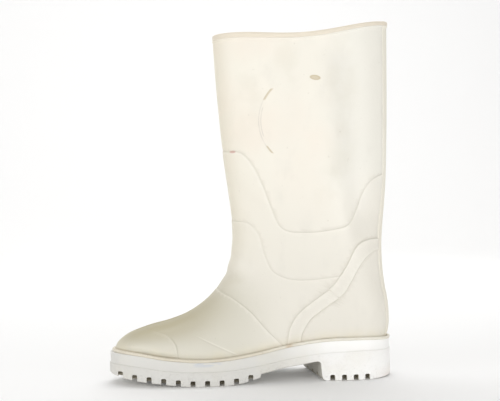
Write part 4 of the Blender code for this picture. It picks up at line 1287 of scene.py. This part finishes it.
# Smudges, and painted shade in the tall band down the rear trough of the shaft (the third oval)
smudges_and_rear_shade = (
    0.22 * oval_mark(188, 330, 13, 26, 0.98)
    + 0.20 * oval_mark(232, 200, 16, 22, 0.98)
    + 0.26 * oval_mark(246, 290, 17, 80, 0.98)
    + 0.20 * oval_mark(150, 300, 14, 40, 0.98)
)
scrapes = oval_mark(170, 214, 22, 1.6, 0.4, -0.18) + oval_mark(182, 206, 12, 1.2, 0.4, -0.3)
red_scuffs = (scrapes + oval_mark(146, 196, 3.5, 6, 0.6)) * upper_finish.noise(130, 4).step(0.42, 0.60)
ink_nick = oval_mark(205, 330, 1.6, 3.2, 0.3, 0.6)

upper_layers = (
    (0.05 + 0.60 * pink_patches * at_top, UPPER_PINK),
    (0.70 * at_rear, UPPER_COOL),
    # Painted shade: the upper grows greyer towards the bottom, where the light falls off
    (0.31 * low_down_shade, UPPER_GREY),
    (0.08 * blotches + 0.12 * fine_dirt, UPPER_GREY),
    # Painted shade in the creases
    (0.22 * in_crease, UPPER_GREY),
    # A darker, greyer foot: the vamp's own tone and painted shade, as the light falls off towards the toe
    (0.80 * on_vamp, UPPER_VAMP_TONE_AND_SHADE),
    # Painted shade, olive, on the top of the foot, where its surfaces face up
    (0.90 * facing_up**2.0 * on_foot, UPPER_OLIVE_SHADE),
    # Yellowing and painted shade on the shaft's surfaces that face the front
    (0.50 * facing_front * (1 - on_foot), UPPER_YELLOW),
    (0.30 * strip_mask, UPPER_YELLOW),
    (0.18 * specks, LINE_BROWN),
    (0.45 * foot_dirt * (0.35 + 0.65 * streaks), UPPER_YELLOW),
    ((0.15 + 0.12 * at_toe + 0.25 * at_cap) * welt_line, WELT_DIRT),
    # Dirt and painted shade at the foot of each step, then wear and a painted highlight on its raised side
    (0.30 * line_dirt_shade_mask, LINE_BROWN),
    (0.45 * line_wear_highlight_mask, UPPER_WORN_HIGHLIGHT),
    (0.90 * collar_mask.step(0.30, 0.50), COLLAR_YELLOW),
    (0.7 * on_inner * smudges_and_rear_shade * clouds, UPPER_SMUDGE),
    (0.40 * on_inner * instep_smudge * clouds, UPPER_SMUDGE),
    (0.28 * on_inner * vamp_crease_highlight, UPPER_WORN_HIGHLIGHT),
    (0.12 * on_inner * crease_shade, LINE_BROWN),
    (0.26 * on_inner * scuff_arc, SCUFF_GREY),
    (0.65 * on_inner * arc_ends, MARK_TAN),
    ((0.85 - 0.25 * tan_middle) * on_inner * tan_oval, MARK_TAN),
    (0.55 * on_inner * red_dot, MARK_RED),
    (0.55 * on_outer * red_scuffs, OUTER_RED),
    (0.80 * on_outer * ink_nick, OUTER_INK),
)
upper_finish.feed("Base Color", layered(UPPER_CREAM, upper_layers))
upper_finish.feed("Roughness", 0.40 + 0.14 * blotches + 0.18 * fine_dirt)
upper_finish.feed("IOR", 1.47)
skin_grain = 0.5 * upper_finish.noise(520, 3) + 0.8 * upper_finish.noise(120, 2)
upper_finish.bump(skin_grain, 0.12 * MM)
upper.data.materials.append(upper_finish.material)
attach(upper, "root")
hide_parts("upper")

# Mould seam
# A thin line of flash up the front of the boot, of the same PVC, where the halves of the mould met.
# It runs from toe to just below the collar, and takes dirt, painted shade and highlight from the skin beside
# it.

SEAM_WIDTH = 1.5 * MM
SEAM_HEIGHT = 0.6 * MM
SEAM_ROUND = 0.28 * MM
CORNER_STEPS = 4
SEAM_START, SEAM_END = 14, 8
SEAM_MARKS = ("facing_up", "facing_front", "above_welt", "line_dirt_and_shade", "line_wear_and_highlight", "in_crease")


def path_carrier(name, points, closed):
    """A line of edges that a tree of geometry nodes can sweep a profile along."""
    count = len(points)
    edges = [(i, (i + 1) % count) for i in range(count if closed else count - 1)]
    mesh = bpy.data.meshes.new(name)
    mesh.from_pydata([tuple(p) for p in points], edges, [])
    return placed(name, mesh)


def swept_bead(name, material):
    """A tree that sweeps a bead of a width and a height, with round corners, along a line."""
    start, given = new_tree(
        name, {"Width": "NodeSocketFloat", "Height": "NodeSocketFloat", "Round": "NodeSocketFloat"}
    )
    line = start.node("GeometryNodeMeshToCurve", None, {"Mesh": given["Geometry"]})
    line = start.node("GeometryNodeSetCurveNormal", {"mode": "Z_UP"}, {"Curve": line})
    sizes = {"Width": given["Width"], "Height": given["Height"]}
    profile = start.node("GeometryNodeCurvePrimitiveQuadrilateral", None, sizes)
    corners = {"Curve": profile, "Radius": given["Round"], "Count": CORNER_STEPS}
    profile = start.node("GeometryNodeFilletCurve", {"mode": "POLY"}, corners)
    sweep = {"Curve": line, "Profile Curve": profile, "Fill Caps": True}
    bead = start.node("GeometryNodeCurveToMesh", None, sweep)
    bead = start.node("GeometryNodeSetShadeSmooth", None, {0: bead})
    end_tree(start, bead, material)
    return start.tree


def copy_marks(source, piece, names):
    """Gives each point of a piece the values of the nearest point of another."""
    places = point_places(source.data)
    nearest = KDTree(len(places))
    for i, place in enumerate(places):
        nearest.insert(place, i)
    nearest.balance()
    found = [nearest.find(place)[1] for place in point_places(piece.data)]
    for name in names:
        values = np.zeros(len(places), np.float32)
        source.data.attributes[name].data.foreach_get("value", values)
        store(piece.data, name, values[found])


mould_seam = grown(
    swept_bead("mould_seam_sweep", upper_finish.material),
    path_carrier("mould_seam_path", front_path[SEAM_START:-SEAM_END], closed=False),
    "mould_seam",
    {"Width": SEAM_WIDTH, "Height": SEAM_HEIGHT, "Round": SEAM_ROUND},
)
copy_marks(upper, mould_seam, SEAM_MARKS)
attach(mould_seam, "root")

# Lining
# A sleeve of white knitted polyester, pulled over the last before the PVC is shot round it, so that it is
# bonded inside the wall. It ends just below the collar.

LINING_GAP = 0.35 * MM
LINING_THICK = 0.8 * MM
LINING_ROWS, LINING_COLUMNS = 64, 26
LINING_BELOW_COLLAR = 9 * MM
# The knit's waves along and up the boot, in radians to the metre
KNIT_WALES, KNIT_COURSES = 620 * 6.28, 5000

lining_bm = bmesh.new()
lining_top = float(below_collar(LINING_BELOW_COLLAR))
lining_places = row_places(LINING_ROWS)
lining_places = np.append(lining_places[lining_places < lining_top - ROWS_APART], lining_top)
grid_faces(lining_bm, skin_rows(lining_bm, lining_places, LINING_COLUMNS), flip=True)
lining_bm.normal_update()
lining_depths = WALL + LINING_GAP + crease_depth(places_of(lining_bm.verts))
inside = [drawn_in(v, float(depth), False) for v, depth in zip(lining_bm.verts, lining_depths)]
for lining_vertex, lining_place in zip(lining_bm.verts, inside):
    lining_vertex.co = lining_place
for lining_face in lining_bm.faces:
    lining_face.smooth = True
in_frame(lining_bm)
lining = piece_of("lining_sleeve", lining_bm)
thickness = lining.modifiers.new("thickness", "SOLIDIFY")
thickness.thickness = LINING_THICK
thickness.offset = -1.0

LINING_WHITE = (0.82, 0.80, 0.74, 1)
LINING_SHADE = (0.58, 0.55, 0.48, 1)

lining_finish = Finish("lining_knit_white")
wales = lining_finish.start.maths("SINE", lining_finish.y * KNIT_WALES)
courses = lining_finish.start.maths("SINE", lining_finish.z * KNIT_COURSES)
knit = 0.5 + 0.25 * wales + 0.25 * courses
lining_worn = lining_finish.noise(18, 3).step(0.40, 0.70)
lining_finish.feed("Base Color", (0.25 * knit + 0.3 * lining_worn).tint(LINING_WHITE, LINING_SHADE))
lining_finish.feed("Roughness", 0.9)
lining_finish.bump(knit, 0.3 * MM)
lining.data.materials.append(lining_finish.material)
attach(lining, "root")

# Welt bead
# A flat bead of yellowed cream PVC with round corners, which covers the joint between the upper and the
# sole's rim. It is bonded to both, and draws in a little round the toe.

WELT_GAP = 0.05 * MM
BEAD_WIDTH = 3.3 * MM
BEAD_HEIGHT = 3.0 * MM
BEAD_ROUND = 1.1 * MM
BEAD_PROUD = 0.9 * MM
BEAD_TOE_INSET = 2.8 * MM
BEAD_TOE_RUN = 45 * MM
BEAD_STEPS = 170

BEAD_CREAM = (0.80, 0.77, 0.68, 1)
BEAD_TAN_AND_SHADE = (0.70, 0.65, 0.54, 1)
BEAD_DIRT = (0.54, 0.47, 0.36, 1)
BEAD_RUST = (0.55, 0.40, 0.26, 1)
RUST_PLACE, RUST_REACH = 36 * MM, 6 * MM

bead_finish = Finish("welt_pvc_cream")
bead_patches = bead_finish.noise(45, 4).step(0.40, 0.70)
bead_specks = bead_finish.noise(380, 4).step(0.60, 0.72)
rust = abs(bead_finish.x - RUST_PLACE).step(RUST_REACH, 0) * bead_finish.y.step(0, -20 * MM)
bead_layers = (
    # Darker towards the toe: the bead's own tan, and painted shade where the light falls off
    (bead_finish.x.step(60 * MM, -20 * MM), BEAD_TAN_AND_SHADE),
    (0.22 * bead_patches + 0.30 * bead_specks, BEAD_DIRT),
    (0.55 * rust, BEAD_RUST),
)
bead_finish.feed("Base Color", layered(BEAD_CREAM, bead_layers))
bead_finish.feed("Roughness", 0.46 + 0.2 * bead_patches)
bead_finish.bump(bead_finish.noise(600, 3), 0.15 * MM)

bead_turns = np.linspace(0, math.pi, BEAD_STEPS + 1)
near_toe = np.clip(1 - station_of(bead_turns) / BEAD_TOE_RUN, 0, 1) ** 2
bead_path = loop_round(
    bead_turns,
    BEAD_PROUD - BEAD_WIDTH / 2 - BEAD_TOE_INSET * near_toe,
    over("rim", WELT_GAP + BEAD_HEIGHT / 2),
)
welt = grown(
    swept_bead("welt_bead_sweep", bead_finish.material),
    path_carrier("welt_bead_path", bead_path, closed=True),
    "welt_bead",
    {"Width": BEAD_WIDTH, "Height": BEAD_HEIGHT, "Round": BEAD_ROUND},
)
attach(welt, "root")
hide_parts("welt")

# Floor
# A pale studio sweep: a level floor that turns up into a wall well behind the boot. It glows a little of
# its own, like white paper in a bright room.

SWEEP_HALF_WIDTH = 4.0
SWEEP_FRONT, SWEEP_BACK = -3.0, 1.6
SWEEP_RADIUS = 0.9
SWEEP_HEIGHT = 3.2
SWEEP_ARC_STEPS = 16
FLOOR_WHITE = (0.82, 0.82, 0.82, 1)
FLOOR_GLOW = 0.08

sweep_profile = [(SWEEP_FRONT, 0.0)]
for i in range(SWEEP_ARC_STEPS + 1):
    angle = math.pi / 2 * i / SWEEP_ARC_STEPS
    sweep_profile.append(
        (SWEEP_BACK + SWEEP_RADIUS * math.sin(angle), SWEEP_RADIUS * (1 - math.cos(angle)))
    )
sweep_profile.append((SWEEP_BACK + SWEEP_RADIUS, SWEEP_HEIGHT))
sweep_bm = bmesh.new()
sweep_rows = [
    [sweep_bm.verts.new((x, y, z)) for x in (-SWEEP_HALF_WIDTH, SWEEP_HALF_WIDTH)] for y, z in sweep_profile
]
for sweep_face in grid_faces(sweep_bm, sweep_rows, flip=True):
    sweep_face.smooth = True
floor = piece_of("studio_sweep", sweep_bm)
floor_finish = Finish("studio_white")
floor_finish.feed("Base Color", FLOOR_WHITE)
floor_finish.feed("Roughness", 0.85)
floor_finish.feed("Emission Color", FLOOR_WHITE)
floor_finish.feed("Emission Strength", FLOOR_GLOW)
floor.data.materials.append(floor_finish.material)

# Light
# A wide soft panel beside the camera, small ones low down, at the front and behind, and one that lights
# the wall. A weak fill comes from all round.

WORLD_WHITE = (1.0, 0.99, 0.97, 1)
WORLD_STRENGTH = 0.48
# Each panel has a name, its place, the place it is turned to, its width, its height and its power
LIGHT_PANELS = (
    ("key_panel", (-0.40, -1.25, 0.62), (0, 0, 0.26), 3.0, 0.5, 8.0),
    ("low_panel", (0.70, -0.90, 0.12), (0.12, 0, 0.02), 0.5, 0.2, 2.5),
    ("front_panel", (-1.0, -0.55, 0.42), (-0.03, 0, 0.30), 0.4, 0.5, 1.7),
    ("rear_panel", (0.35, 1.15, 1.05), (0, 0, 0.25), 1.0, 0.6, 3.0),
    ("wall_panel", (0, 0.9, 2.8), (0, 2.4, 0.9), 3.0, 0.8, 50),
)

world = bpy.data.worlds.new("studio")
world.use_nodes = True
background = world.node_tree.nodes["Background"]
background.inputs["Color"].default_value = WORLD_WHITE
background.inputs["Strength"].default_value = WORLD_STRENGTH
bpy.context.scene.world = world


def panel_light(name, place, target, width, height, power):
    """A soft panel of light at a place, turned to a target."""
    light = bpy.data.lights.new(name, "AREA")
    light.shape = "RECTANGLE"
    light.size = width
    light.size_y = height
    light.energy = power
    panel = placed(name, light)
    panel.location = place
    panel.rotation_euler = (Vector(target) - Vector(place)).to_track_quat("-Z", "Y").to_euler()


for light_panel in LIGHT_PANELS:
    panel_light(*light_panel)
bpy.context.scene.view_settings.view_transform = "Standard"

# Camera
# The photograph's own view: level with the shaft, from the inner side, a little towards the toe. The boot
# takes up the same share of the picture's height.

CAMERA_PLACE = Vector((-0.078, -1.15, 0.217))
CAMERA_TARGET = Vector((0.0, 0.0, 0.190))
CAMERA_ROLL = -0.0135
SENSOR_WIDTH = 36.0
CLIP_START = 0.05
FRAME_WIDTH, FRAME_HEIGHT = 500, 401
BOOT_HEIGHT = 0.380
BOOT_SHARE = 0.88

view = CAMERA_TARGET - CAMERA_PLACE
seen_height = BOOT_HEIGHT / BOOT_SHARE
lens = bpy.data.cameras.new("photo_camera")
lens.sensor_fit = "HORIZONTAL"
lens.sensor_width = SENSOR_WIDTH
lens.lens = SENSOR_WIDTH * view.length / (seen_height * FRAME_WIDTH / FRAME_HEIGHT)
lens.clip_start = CLIP_START
camera = placed("photo_camera", lens)
camera.location = CAMERA_PLACE
facing = view.to_track_quat("-Z", "Y") @ Quaternion((0, 0, 1), CAMERA_ROLL)
camera.rotation_euler = facing.to_euler()
bpy.context.scene.camera = camera
